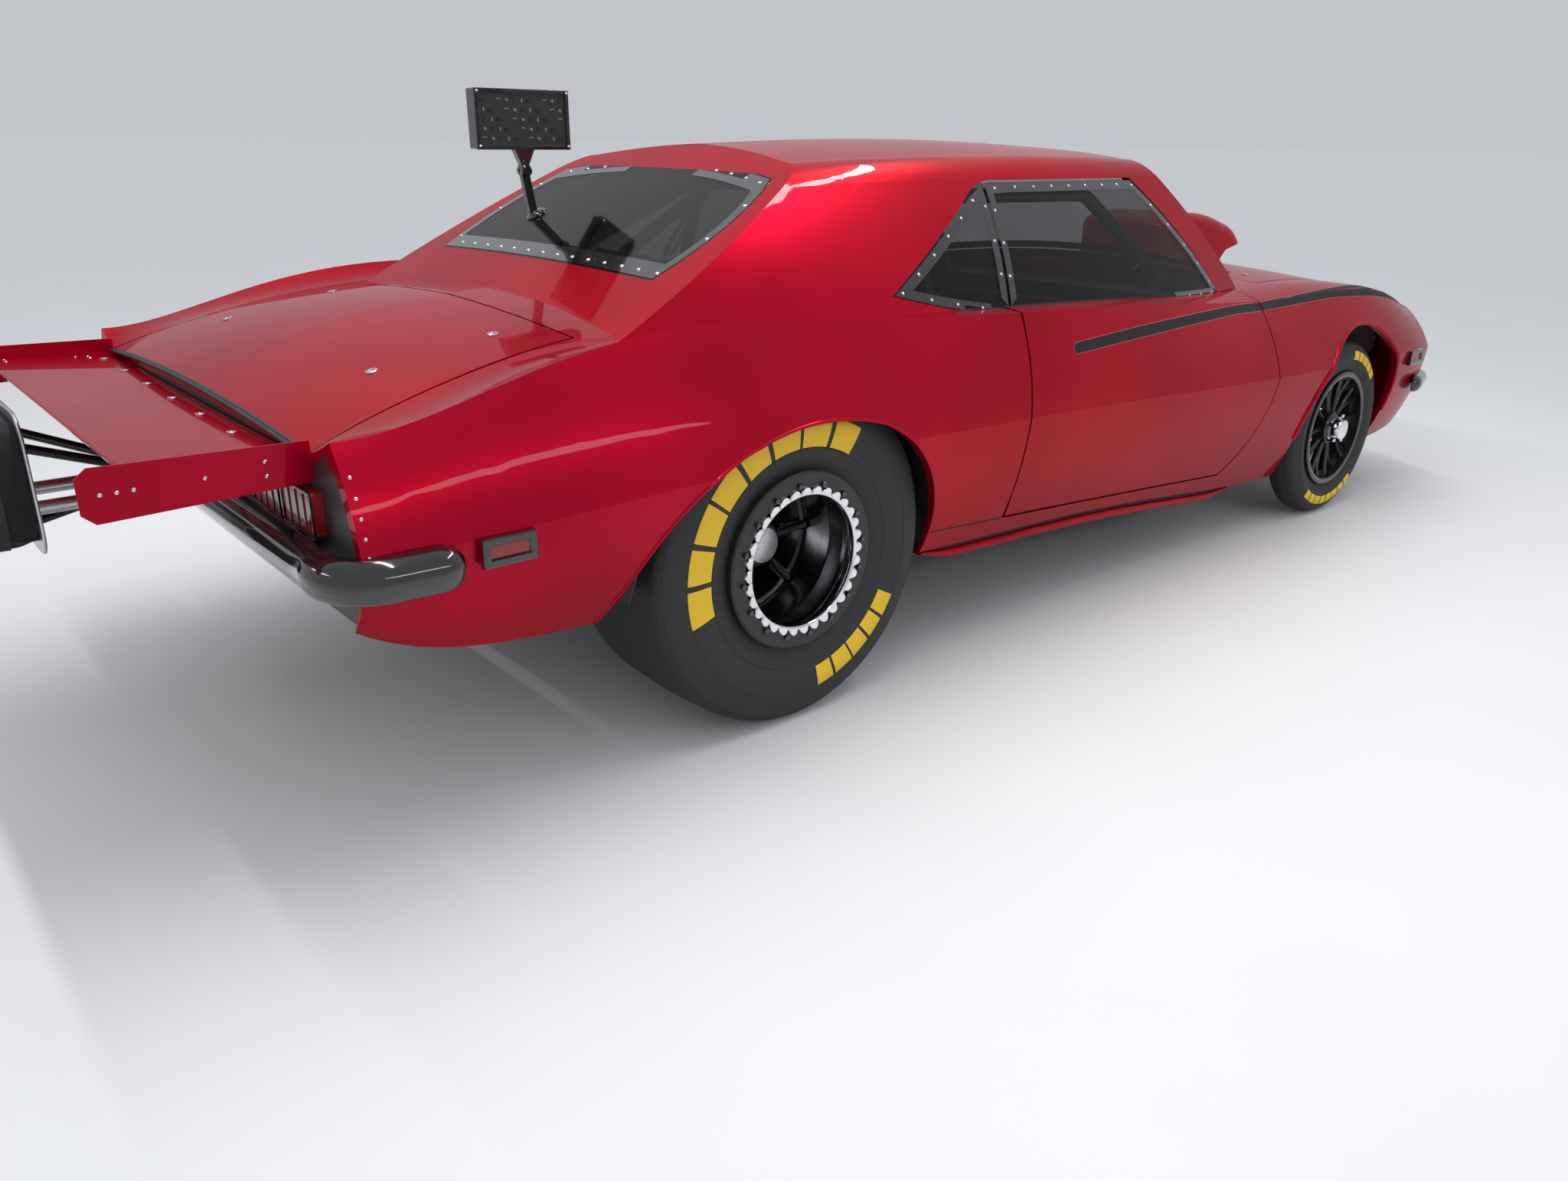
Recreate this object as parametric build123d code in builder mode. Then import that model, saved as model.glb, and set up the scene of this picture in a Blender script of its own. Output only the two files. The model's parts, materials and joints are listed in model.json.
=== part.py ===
from math import atan2, cos, degrees, radians, sin, sqrt
import os

from build123d import *

# Drag racing coupe of the late 1960s pony-car kind, rebuilt as separate pieces.
# Millimetres. X points forward, Y to the driver's left and Z up, with the ground at Z = 0.
# The origin is on the ground, halfway between the nose and the rear of the parachute pack.

# Driving dimensions
AXLE_X = -1022.0        # rear axle
WHEELBASE = 2743.0
FRONT_X = AXLE_X + WHEELBASE
WALL = 24.0             # fixed body panels
DOOR_WALL = 52.0        # whole door
ROOF_WALL = 22.0
PANE = 6.0              # plastic windows
GAP = 6.0               # between moving panels and the body
SEAT_GAP = 0.3          # between pieces that rest on each other

REAR_TYRE_R = 419.0
REAR_TYRE_WIDTH = 372.0
REAR_TYRE_Y = 676.0     # middle of the tread
REAR_RIM_R = 205.0
FRONT_TYRE_R = 330.0
FRONT_TYRE_WIDTH = 122.0
FRONT_TYRE_Y = 796.0
FRONT_RIM_R = 205.0
RIM_WALL = 9.0
KINGPIN_Y = 688.0

os.makedirs("parts", exist_ok=True)


def bow(start, end, rise):
    """An arc whose middle stands rise to the left of the line from start to end."""
    length = sqrt((end[0] - start[0]) ** 2 + (end[1] - start[1]) ** 2)
    left = ((start[1] - end[1]) / length, (end[0] - start[0]) / length)
    middle = (
        (start[0] + end[0]) / 2 + left[0] * rise,
        (start[1] + end[1]) / 2 + left[1] * rise,
    )
    return ThreePointArc(start, middle, end)


def tube(points, radius, bend=0.0):
    """A round bar along straight runs, with its corners rounded to bend."""
    with BuildPart() as bar:
        with BuildLine():
            if bend and len(points) > 2:
                route = FilletPolyline(*points, radius=bend)
            else:
                route = Polyline(*points)
        with BuildSketch(Plane(origin=route @ 0, z_dir=route % 0)):
            Circle(radius)
        sweep()
    return bar.part


def save(piece, label):
    """Name a finished piece and write it as one STEP file."""
    piece.label = label
    export_step(piece, f"parts/{label}.step")


# Lower body: half sections from the tail to the nose, each a closed ring of arcs.
# Columns: x from the rear axle, centre z, inner shoulder y and z, outer shoulder y and z,
# widest y and z, sill y and z, rise of the valley between the shoulders
BODY_STATIONS = [
    (-1040, 836, 684, 812, 792, 852, 874, 660, 800, 500, -4),
    (-600, 958, 612, 925, 800, 940, 902, 670, 822, 400, -14),
    (0, 985, 650, 950, 806, 974, 914, 680, 815, 360, -14),
    (760, 948, 720, 934, 842, 928, 906, 660, 812, 314, 2),
    (1400, 925, 720, 910, 834, 898, 916, 640, 812, 280, 4),
    (2080, 922, 670, 884, 800, 852, 920, 612, 806, 214, 6),
    (2743, 905, 625, 862, 790, 845, 915, 600, 800, 205, 6),
    (3230, 828, 600, 790, 756, 782, 886, 580, 790, 225, 5),
    (3620, 750, 560, 722, 690, 704, 800, 560, 720, 262, 4),
]


def half_body(inset):
    """The left half of the lower body, drawn in on every side but the bottom by inset."""
    with BuildPart() as body:
        for x, zc, yi, zi, yo, zo, yw, zw, ys, zs, valley in BODY_STATIONS:
            sill = zs - (30 if inset else 0)
            centre = (0, zc - inset)
            inner = (yi - inset / 3, zi - inset)
            outer = (yo - inset, zo - inset)
            wide = (yw - inset, zw)
            foot = (ys - inset, sill)
            with BuildSketch(Plane.YZ.offset(AXLE_X + x)):
                with BuildLine():
                    bow(centre, inner, 6)
                    bow(inner, outer, valley)
                    bow(outer, wide, 14)
                    bow(wide, foot, 16)
                    Line(foot, (0, sill))
                    Line((0, sill), centre)
                make_face()
        loft()
    return body.part


# Greenhouse: roof and side walls as half sections, cut by a ring that leans in at both ends.
# Columns: x from the rear axle, crown z, roof edge y and z, side y and z, base y
ROOF_STATIONS = [
    (-640, 1262, 420, 1236, 520, 1188, 640),
    (260, 1322, 430, 1288, 548, 1236, 805),
    (900, 1343, 446, 1304, 566, 1250, 842),
    (1500, 1336, 440, 1300, 560, 1248, 806),
    (2500, 1266, 410, 1236, 520, 1188, 640),
]
ROOF_BASE_Z = 800.0
RING_LOW_Z = 700.0
RING_HIGH_Z = 1400.0
SCREEN_LOW_X = 2500.0   # windscreen at the ring's low and high levels, on the centre line
SCREEN_HIGH_X = 1712.0
SCREEN_CURVE = 235.0    # how far the windscreen's corners lie behind its middle
BACK_LOW_X = -835.0     # rear window at the same levels
BACK_HIGH_X = 498.0
BACK_CURVE = 26.0
RING_HALF = 800.0


def ring_face(level, screen_x, back_x):
    """The greenhouse's outline in plan at one level."""
    with BuildSketch(Plane.XY.offset(level)) as face:
        with BuildLine():
            ThreePointArc(
                (AXLE_X + screen_x - SCREEN_CURVE, RING_HALF),
                (AXLE_X + screen_x, 0),
                (AXLE_X + screen_x - SCREEN_CURVE, -RING_HALF),
            )
            Line(
                (AXLE_X + screen_x - SCREEN_CURVE, -RING_HALF),
                (AXLE_X + back_x + BACK_CURVE, -RING_HALF),
            )
            ThreePointArc(
                (AXLE_X + back_x + BACK_CURVE, -RING_HALF),
                (AXLE_X + back_x, 0),
                (AXLE_X + back_x + BACK_CURVE, RING_HALF),
            )
            Line(
                (AXLE_X + back_x + BACK_CURVE, RING_HALF),
                (AXLE_X + screen_x - SCREEN_CURVE, RING_HALF),
            )
        make_face()
    return face.sketch


def ring(screen_back, window_fore):
    """The leaning ring, with its screen and rear window moved inwards."""
    with BuildPart() as leaning:
        add(ring_face(RING_LOW_Z, SCREEN_LOW_X - screen_back, BACK_LOW_X + window_fore))
        add(ring_face(RING_HIGH_Z, SCREEN_HIGH_X - screen_back, BACK_HIGH_X + window_fore))
        loft(ruled=True)
    return leaning.part


def greenhouse(inset, screen_back, window_fore):
    """Both halves of the greenhouse, drawn in by inset and by its two ends' own amounts."""
    with BuildPart() as cabin:
        for x, zc, ye, ze, ys, zs, yb in ROOF_STATIONS:
            crown = (0, zc - inset)
            edge = (ye - inset / 2, ze - inset)
            side = (ys - inset, zs - inset / 2)
            base = (yb - inset, ROOF_BASE_Z)
            with BuildSketch(Plane.YZ.offset(AXLE_X + x)):
                with BuildLine():
                    bow(crown, edge, 6)
                    bow(edge, side, 14)
                    bow(side, base, 24)
                    Line(base, (0, ROOF_BASE_Z))
                    Line((0, ROOF_BASE_Z), crown)
                make_face()
        loft()
        mirror(about=Plane.XZ)
        add(ring(screen_back, window_fore), mode=Mode.INTERSECT)
    return cabin.part


body_outer = half_body(0)
body_inner = half_body(WALL)
body_door = half_body(DOOR_WALL)
cabin_outer = greenhouse(0, 0, 0)
cabin_inner = greenhouse(ROOF_WALL, 34, 52)

# Where the panels meet, measured from the rear axle
DOOR_REAR = 766.0
DOOR_FRONT = 2080.0
DOOR_REAR_LOW_Z = 372.0
DOOR_FRONT_LOW_Z = 291.0
DOOR_FRONT_LOW_X = 1915.0
DOOR_TOP_Z = 1010.0
JAMB_LEAN = 60.0        # how much shorter the door is inside than outside
DECK_REAR_HALF = 684.0
DECK_FRONT_HALF = 584.0
DECK_FRONT = -430.0
TAIL = -1040.0
COWL = 2396.0
HOOD_REAR_HALF = 636.0
HOOD_FRONT_HALF = 556.0
NOSE_SEAM = 3486.0
NOSE = 3620.0
PLAN_DEPTH = 700.0
SIDE_DEPTH = 600.0
REAR_ARCH_R = 408.0
FRONT_ARCH_R = 372.0


def side_prism(outline, depth=SIDE_DEPTH, near=400.0):
    """A prism through the left side of the car from a side view outline."""
    with BuildPart() as prism:
        with BuildSketch(Plane.XZ.offset(-near)):
            with BuildLine():
                outline()
            make_face()
        extrude(amount=-depth)
    return prism.part


def door_outline(grow=0.0):
    """The door's outline below its window, from the rear top corner round to the front."""
    rear = AXLE_X + DOOR_REAR - grow
    front = AXLE_X + DOOR_FRONT + grow
    low_rear = (rear, DOOR_REAR_LOW_Z - grow)
    low_front = (AXLE_X + DOOR_FRONT_LOW_X + grow, DOOR_FRONT_LOW_Z - grow)
    Line((rear, DOOR_TOP_Z), low_rear)
    Line(low_rear, low_front)
    ThreePointArc(low_front, (front - 42, DOOR_FRONT_LOW_Z + 140), (front, DOOR_FRONT_LOW_Z + 310))
    Line((front, DOOR_FRONT_LOW_Z + 310), (front, DOOR_TOP_Z))
    Line((front, DOOR_TOP_Z), (rear, DOOR_TOP_Z))


def rear_arch_outline():
    """The rear wheel opening, which runs out to a long slope behind the tyre."""
    front_low = (AXLE_X + 452, 330)
    front_high = (AXLE_X + 223, 719)
    top_rear = (AXLE_X - 160, 728)
    rear_high = (AXLE_X - 462, 520)
    rear_low = (AXLE_X - 548, 394)
    Line((front_low[0], 200), front_low)
    ThreePointArc(front_low, (AXLE_X + 406, 548), front_high)
    ThreePointArc(front_high, (AXLE_X + 30, 752), top_rear)
    ThreePointArc(top_rear, (AXLE_X - 340, 648), rear_high)
    Line(rear_high, rear_low)
    Line(rear_low, (rear_low[0], 200))
    Line((rear_low[0], 200), (front_low[0], 200))


def front_arch_outline():
    """The front wheel opening, a round arch cut off at the sill."""
    left = (FRONT_X + 12 - FRONT_ARCH_R, 350)
    right = (FRONT_X + 12 + FRONT_ARCH_R, 350)
    Line((left[0], 100), left)
    ThreePointArc(left, (FRONT_X + 12, 350 + FRONT_ARCH_R), right)
    Line(right, (right[0], 100))
    Line((right[0], 100), (left[0], 100))


def window_outline(grow=0.0):
    """The side window opening, quarter glass and door glass together."""
    rear = (AXLE_X + 392 - grow, 985 - grow)
    kink = (AXLE_X + 884, 905 - grow)
    front = (AXLE_X + 1984 + grow, 862 - grow)
    top_front = (AXLE_X + 1608 + grow, 1240 + grow)
    top_rear = (AXLE_X + 960, 1242 + grow)
    upper = (AXLE_X + 800 - grow, 1206 + grow)
    ThreePointArc(rear, (AXLE_X + 640, 932 - grow), kink)
    Line(kink, front)
    Line(front, top_front)
    Line(top_front, top_rear)
    ThreePointArc(top_rear, (AXLE_X + 866 - grow, 1234 + grow), upper)
    Line(upper, rear)


def screen_outline(shrink=0.0):
    """The windscreen opening in front view."""
    low = (650 - shrink, 905 + shrink)
    high = (508 - shrink, 1258 - shrink)
    ThreePointArc((-low[0], low[1]), (0, 948 + shrink), low)
    Line(low, high)
    ThreePointArc(high, (0, 1288 - shrink), (-high[0], high[1]))
    Line((-high[0], high[1]), (-low[0], low[1]))


def back_outline(shrink=0.0):
    """The rear window opening in front view."""
    low = (520 - shrink, 1040 + shrink)
    middle = (536 - shrink, 1130)
    high = (470 - shrink, 1252 - shrink)
    ThreePointArc((-low[0], low[1]), (0, 1048 + shrink), low)
    ThreePointArc(low, middle, high)
    ThreePointArc(high, (0, 1284 - shrink), (-high[0], high[1]))
    ThreePointArc((-high[0], high[1]), (-middle[0], middle[1]), (-low[0], low[1]))


def end_prism(outline, start, length, shrink=0.0):
    """A prism along X from a front view outline."""
    with BuildPart() as prism:
        with BuildSketch(Plane.YZ.offset(AXLE_X + start)):
            with BuildLine():
                outline(shrink)
            make_face()
        extrude(amount=length)
    return prism.part


def plan_prism(points, low, high):
    """An upright prism from a plan view outline, its x counted from the rear axle."""
    with BuildPart() as prism:
        with BuildSketch(Plane.XY.offset(low)):
            with BuildLine():
                Polyline(*[(AXLE_X + x, y) for x, y in points], close=True)
            make_face()
        extrude(amount=high - low)
    return prism.part


def deck_points(grow):
    return [
        (TAIL - 40, 0),
        (TAIL - 40, DECK_REAR_HALF + grow),
        (TAIL, DECK_REAR_HALF + grow),
        (DECK_FRONT + grow, DECK_FRONT_HALF + grow),
        (DECK_FRONT + grow, 0),
    ]


def hood_points(grow):
    return [
        (COWL - grow, 0),
        (COWL - grow - 40, HOOD_REAR_HALF + grow),
        (NOSE_SEAM - 6 + grow, HOOD_FRONT_HALF + grow),
        (NOSE_SEAM - 6 + grow, 0),
    ]


LEDGE = 24.0            # how far a lid's ledge reaches under the lid and under the fixed skin
LEDGE_WALL = 8.0
ledge_top = half_body(WALL - 2)
ledge_low = half_body(WALL + LEDGE_WALL)
lid_seat = half_body(WALL + SEAT_GAP)


def ledge(points, rear, front):
    """A strip below a lid's side edge, joined to the fixed skin beside it."""
    with BuildPart() as lid_space:
        add(plan_prism(points(GAP), 600, 1400))
        add(lid_seat, mode=Mode.SUBTRACT)
    with BuildPart() as strip:
        add(ledge_top)
        add(ledge_low, mode=Mode.SUBTRACT)
        add(plan_prism(points(GAP + LEDGE), 600, 1400), mode=Mode.INTERSECT)
        add(plan_prism(points(-LEDGE), 600, 1400), mode=Mode.SUBTRACT)
        add(plan_prism([(rear, 200), (rear, 1000), (front, 1000), (front, 200)], 600, 1400),
            mode=Mode.INTERSECT)
        add(lid_space.part, mode=Mode.SUBTRACT)
    return strip.part


# Quarter panels, sills and the panel between rear window and deck lid, all one shell
with BuildPart() as body_shell:
    add(body_outer)
    add(body_inner, mode=Mode.SUBTRACT)
    add(plan_prism([(TAIL, 0), (TAIL, 1000), (DOOR_FRONT + GAP, 1000), (DOOR_FRONT + GAP, 0)], 0, 1400),
        mode=Mode.INTERSECT)
    add(side_prism(lambda: door_outline(GAP)), mode=Mode.SUBTRACT)
    add(side_prism(rear_arch_outline), mode=Mode.SUBTRACT)
    add(plan_prism(deck_points(GAP), 700, 1100), mode=Mode.SUBTRACT)
    add(cabin_inner, mode=Mode.SUBTRACT)
    add(ledge(deck_points, TAIL + 40, DECK_FRONT - 40))
    mirror(about=Plane.XZ)
save(body_shell.part, "body_shell")

# Roof, pillars and sail panels
with BuildPart() as roof:
    add(cabin_outer)
    add(cabin_inner, mode=Mode.SUBTRACT)
    add(side_prism(window_outline, near=300), mode=Mode.SUBTRACT)
    add(mirror(side_prism(window_outline, near=300), about=Plane.XZ), mode=Mode.SUBTRACT)
    add(end_prism(screen_outline, 1700, 700), mode=Mode.SUBTRACT)
    add(end_prism(back_outline, -400, 640), mode=Mode.SUBTRACT)
    add(body_outer, mode=Mode.SUBTRACT)
    add(mirror(body_outer, about=Plane.XZ), mode=Mode.SUBTRACT)
save(roof.part, "roof")

# Doors, cut back round the foot of the front pillar
PILLAR_FOOT = 1976.0     # where the front pillar starts at the door's top
with BuildPart() as pillar_space:
    add(greenhouse(-GAP, 0, 0))
    foot = [(PILLAR_FOOT, 400), (PILLAR_FOOT, 1000), (DOOR_FRONT + GAP, 1000), (DOOR_FRONT + GAP, 400)]
    add(plan_prism(foot, 200, 1100), mode=Mode.INTERSECT)
with BuildPart() as door_left:
    add(body_outer)
    add(side_prism(door_outline, near=380), mode=Mode.INTERSECT)
    add(body_door, mode=Mode.SUBTRACT)
    add(cabin_inner, mode=Mode.SUBTRACT)
    add(pillar_space.part, mode=Mode.SUBTRACT)
    add(plan_prism([(DOOR_REAR - 20, 560), (DOOR_REAR, 860), (DOOR_REAR + JAMB_LEAN, 560)], 200, 1100),
        mode=Mode.SUBTRACT)
save(door_left.part, "door_left")
save(mirror(door_left.part, about=Plane.XZ), "door_right")

# Fenders
with BuildPart() as fenders:
    add(body_outer)
    add(body_inner, mode=Mode.SUBTRACT)
    add(plan_prism([(DOOR_FRONT + GAP, 0), (DOOR_FRONT + GAP, 1000), (NOSE_SEAM, 1000), (NOSE_SEAM, 0)],
                   0, 1400), mode=Mode.INTERSECT)
    add(plan_prism(hood_points(GAP), 600, 1400), mode=Mode.SUBTRACT)
    add(plan_prism([(DOOR_FRONT - 200, -10), (DOOR_FRONT - 200, 656), (COWL - 20, 656), (COWL, 0)],
                   600, 1400), mode=Mode.SUBTRACT)
    add(side_prism(front_arch_outline), mode=Mode.SUBTRACT)
    add(ledge(hood_points, COWL + 40, NOSE_SEAM - 60))
    mirror(about=Plane.XZ)
save(fenders.part, "fenders")

# Cowl panel and firewall behind the engine
FIREWALL_X = 2236.0
FIREWALL_WALL = 12.0
SHAFT_Z = 335.0         # gearbox and propeller shaft at the gearbox end
TUNNEL_R = 132.0


def firewall_half():
    """The left half of the firewall, open over the gearbox."""
    with BuildPart() as wall:
        add(body_inner)
        add(plan_prism([(FIREWALL_X, 0), (FIREWALL_X, 1000), (FIREWALL_X + FIREWALL_WALL, 1000),
                        (FIREWALL_X + FIREWALL_WALL, 0)], 244, 1400), mode=Mode.INTERSECT)
        with BuildSketch(Plane.YZ.offset(AXLE_X + FIREWALL_X)):
            with Locations((0, SHAFT_Z - 50)):
                Rectangle(2 * TUNNEL_R, 100)
            with Locations((0, SHAFT_Z)):
                Circle(TUNNEL_R)
        extrude(amount=FIREWALL_WALL, mode=Mode.SUBTRACT)
    return wall.part


with BuildPart() as cowl:
    add(body_outer)
    add(body_inner, mode=Mode.SUBTRACT)
    add(plan_prism([(DOOR_FRONT + GAP, 0), (DOOR_FRONT + GAP, 655), (COWL - 20, 655), (COWL, 0)], 600, 1400),
        mode=Mode.INTERSECT)
    add(plan_prism(hood_points(GAP), 600, 1400), mode=Mode.SUBTRACT)
    add(cabin_outer, mode=Mode.SUBTRACT)
    add(firewall_half())
    mirror(about=Plane.XZ)
save(cowl.part, "cowl")

# Hood with its forward-facing scoop
SCOOP_HALF = 205.0
SCOOP_WALL = 12.0
with BuildPart() as hood:
    add(body_outer)
    add(body_inner, mode=Mode.SUBTRACT)
    add(plan_prism(hood_points(0), 600, 1400), mode=Mode.INTERSECT)
    mirror(about=Plane.XZ)
with BuildPart() as scoop:
    with BuildSketch(Plane.XZ.offset(-SCOOP_HALF)):
        with BuildLine():
            Line((AXLE_X + 2440, 900), (AXLE_X + 2440, 1060))
            ThreePointArc((AXLE_X + 2440, 1060), (AXLE_X + 2660, 1084), (AXLE_X + 2900, 1040))
            ThreePointArc((AXLE_X + 2900, 1040), (AXLE_X + 2990, 1004), (AXLE_X + 3034, 962))
            Line((AXLE_X + 3034, 962), (AXLE_X + 2900, 934))
            Line((AXLE_X + 2900, 934), (AXLE_X + 2820, 860))
            Line((AXLE_X + 2820, 860), (AXLE_X + 2440, 900))
        make_face()
    extrude(amount=2 * SCOOP_HALF)
    fillet(scoop.edges().filter_by(Axis.Y).sort_by(Axis.Z)[-2:], 30)
    fillet(scoop.faces().sort_by(Axis.Y)[-1].edges().sort_by(Axis.Z)[-2:], 55)
    fillet(scoop.faces().sort_by(Axis.Y)[0].edges().sort_by(Axis.Z)[-2:], 55)
    with BuildSketch(Plane.XZ.offset(-SCOOP_HALF + SCOOP_WALL)):
        with BuildLine():
            Polyline(
                (AXLE_X + 2500, 925),
                (AXLE_X + 2500, 1040),
                (AXLE_X + 2895, 1014),
                (AXLE_X + 3060, 974),
                (AXLE_X + 3060, 960),
                (AXLE_X + 2894, 947),
                (AXLE_X + 2840, 905),
                close=True,
            )
        make_face()
    extrude(amount=2 * (SCOOP_HALF - SCOOP_WALL), mode=Mode.SUBTRACT)
    add(body_outer, mode=Mode.SUBTRACT)
    add(mirror(body_outer, about=Plane.XZ), mode=Mode.SUBTRACT)
with BuildPart() as hood_with_scoop:
    add(hood.part)
    add(scoop.part)
save(hood_with_scoop.part, "hood")

# Deck lid
with BuildPart() as deck_lid:
    add(body_outer)
    add(body_inner, mode=Mode.SUBTRACT)
    add(plan_prism(deck_points(0), 700, 1100), mode=Mode.INTERSECT)
    mirror(about=Plane.XZ)
save(deck_lid.part, "deck_lid")

# Nose panel with the grille opening, and the valance below it
GRILLE_HALF = 640.0
GRILLE_LOW_Z = 452.0
GRILLE_HIGH_Z = 668.0
NOSE_CORNER = 3520.0    # the nose's corners lie behind its middle


def nose_ring():
    """Plan view outline of the nose, rounded across its front."""
    with BuildPart() as prism:
        with BuildSketch():
            with BuildLine():
                Line((AXLE_X + NOSE_SEAM + SEAT_GAP, -1000), (AXLE_X + NOSE_SEAM + SEAT_GAP, 1000))
                Line((AXLE_X + NOSE_SEAM + SEAT_GAP, 1000), (AXLE_X + NOSE_CORNER, 1000))
                Line((AXLE_X + NOSE_CORNER, 1000), (AXLE_X + NOSE_CORNER, 780))
                ThreePointArc(
                    (AXLE_X + NOSE_CORNER, 780), (AXLE_X + NOSE - 24, 420), (AXLE_X + NOSE - 2, 0))
                ThreePointArc(
                    (AXLE_X + NOSE - 2, 0), (AXLE_X + NOSE - 24, -420), (AXLE_X + NOSE_CORNER, -780))
                Line((AXLE_X + NOSE_CORNER, -780), (AXLE_X + NOSE_CORNER, -1000))
                Line((AXLE_X + NOSE_CORNER, -1000), (AXLE_X + NOSE_SEAM + SEAT_GAP, -1000))
            make_face()
        extrude(amount=1400)
    return prism.part


with BuildPart() as nose:
    add(body_outer)
    mirror(about=Plane.XZ)
    add(nose_ring(), mode=Mode.INTERSECT)
    with BuildSketch(Plane.YZ.offset(AXLE_X + NOSE_SEAM)):
        with Locations((0, (GRILLE_LOW_Z + GRILLE_HIGH_Z) / 2)):
            RectangleRounded(2 * GRILLE_HALF, GRILLE_HIGH_Z - GRILLE_LOW_Z, 60)
    extrude(amount=200, mode=Mode.SUBTRACT)
save(nose.part, "nose")

# Grille: a recessed plate with upright and level bars, fused
GRILLE_X = NOSE_SEAM + 30.0
with BuildPart() as grille:
    with BuildSketch(Plane.YZ.offset(AXLE_X + GRILLE_X)):
        with Locations((0, (GRILLE_LOW_Z + GRILLE_HIGH_Z) / 2)):
            RectangleRounded(
                2 * (GRILLE_HALF - SEAT_GAP), GRILLE_HIGH_Z - GRILLE_LOW_Z - 2 * SEAT_GAP, 60 - SEAT_GAP)
        with Locations((-522, 560), (522, 560)):
            Circle(92, mode=Mode.SUBTRACT)
    extrude(amount=8)
    with BuildSketch(Plane.YZ.offset(AXLE_X + GRILLE_X + 8)):
        for level in range(5):
            with Locations((0, GRILLE_LOW_Z + 36 * (level + 1))):
                Rectangle(840, 8)
        for upright in range(-7, 8):
            with Locations((upright * 56, (GRILLE_LOW_Z + GRILLE_HIGH_Z) / 2)):
                Rectangle(6, GRILLE_HIGH_Z - GRILLE_LOW_Z - 40)
    extrude(amount=14)
save(grille.part, "grille")

# Headlamps set in the grille's ends
with BuildPart() as headlamps:
    for side in (-1, 1):
        with BuildSketch(Plane.YZ.offset(AXLE_X + GRILLE_X)):
            with Locations((side * 522, 560)):
                Circle(92 - SEAT_GAP)
        extrude(amount=34)
    fillet(headlamps.faces().sort_by(Axis.X)[-2:].edges(), 12)
save(headlamps.part, "headlamps")

# Bumpers: blades bent round the corners
BUMPER_WALL = 16.0


def blade(half_route, low, high, bracket_from, bracket_to, seat):
    """A bumper blade along a plan view route from its middle to its end, with two brackets."""
    with BuildPart() as bar:
        with BuildSketch(Plane.XY.offset(low)):
            with BuildLine() as route:
                half_route()
            trace(line_width=BUMPER_WALL)
        extrude(amount=high - low)
        with BuildSketch(Plane.XY.offset(low + 8)):
            with Locations((AXLE_X + (bracket_from + bracket_to) / 2, 300)):
                Rectangle(abs(bracket_to - bracket_from), 50)
        extrude(amount=high - low - 16)
        for piece in seat:
            add(piece, mode=Mode.SUBTRACT)
        mirror(about=Plane.XZ)
    return bar.part


def front_route():
    ThreePointArc((AXLE_X + 3656, 0), (AXLE_X + 3640, 380), (AXLE_X + 3584, 700))
    ThreePointArc((AXLE_X + 3584, 700), (AXLE_X + 3560, 790), (AXLE_X + 3470, 846))
    Line((AXLE_X + 3470, 846), (AXLE_X + 3330, 882))


def rear_route():
    Line((AXLE_X - 1085, 0), (AXLE_X - 1085, 760))
    ThreePointArc((AXLE_X - 1085, 760), (AXLE_X - 1068, 852), (AXLE_X - 1000, 894))
    Line((AXLE_X - 1000, 894), (AXLE_X - 860, 904))


save(blade(front_route, 396, 462, 3580, 3650, [nose.part]), "front_bumper")
save(blade(rear_route, 586, 650, TAIL - SEAT_GAP, -1080, [body_outer]), "rear_bumper")

# Tail panel and lamps
TAIL_PANEL_WALL = 10.0
with BuildPart() as tail_panel:
    add(lid_seat)
    slab = [(TAIL, 0), (TAIL, 1000), (TAIL + TAIL_PANEL_WALL, 1000), (TAIL + TAIL_PANEL_WALL, 0)]
    add(plan_prism(slab, 520, 900), mode=Mode.INTERSECT)
    mirror(about=Plane.XZ)
save(tail_panel.part, "tail_panel")
LAMP_Z = 706.0
with BuildPart() as tail_lamps:
    with BuildSketch(Plane.YZ.offset(AXLE_X + TAIL - SEAT_GAP)):
        with Locations((-650, LAMP_Z), (-480, LAMP_Z), (480, LAMP_Z), (650, LAMP_Z)):
            RectangleRounded(150, 84, 14)
    extrude(amount=-22)
save(tail_lamps.part, "tail_lamps")

# Side markers at both ends of both flanks
with BuildPart() as side_markers:
    for x, z, reach in ((-773, 631, 902), (3240, 556, 897)):
        with BuildSketch(Plane.XZ.offset(-840)):
            with Locations((AXLE_X + x, z)):
                Rectangle(106, 48)
        extrude(amount=-(reach - 840))
    add(body_outer, mode=Mode.SUBTRACT)
    mirror(about=Plane.XZ)
save(side_markers.part, "side_markers")

# Windows: panes as thick as the sheet, let into their openings
pane_outer = greenhouse(0, 0, 0)
pane_inner = greenhouse(PANE, 9, 13)


def pane(cutter):
    """The part of the greenhouse's skin that a cutter keeps, above the lower body."""
    with BuildPart() as sheet:
        add(pane_outer)
        add(pane_inner, mode=Mode.SUBTRACT)
        add(cutter, mode=Mode.INTERSECT)
        add(body_outer, mode=Mode.SUBTRACT)
        add(mirror(body_outer, about=Plane.XZ), mode=Mode.SUBTRACT)
        add(roof.part, mode=Mode.SUBTRACT)
    return sheet.part


save(pane(end_prism(screen_outline, 1700, 700, SEAT_GAP)), "windscreen")
save(pane(end_prism(back_outline, -400, 640, SEAT_GAP)), "rear_window")
# The quarter glass and the door glass part along a line that leans forward
POST_LOW_X = 772.0
POST_HIGH_X = 905.0


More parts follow.
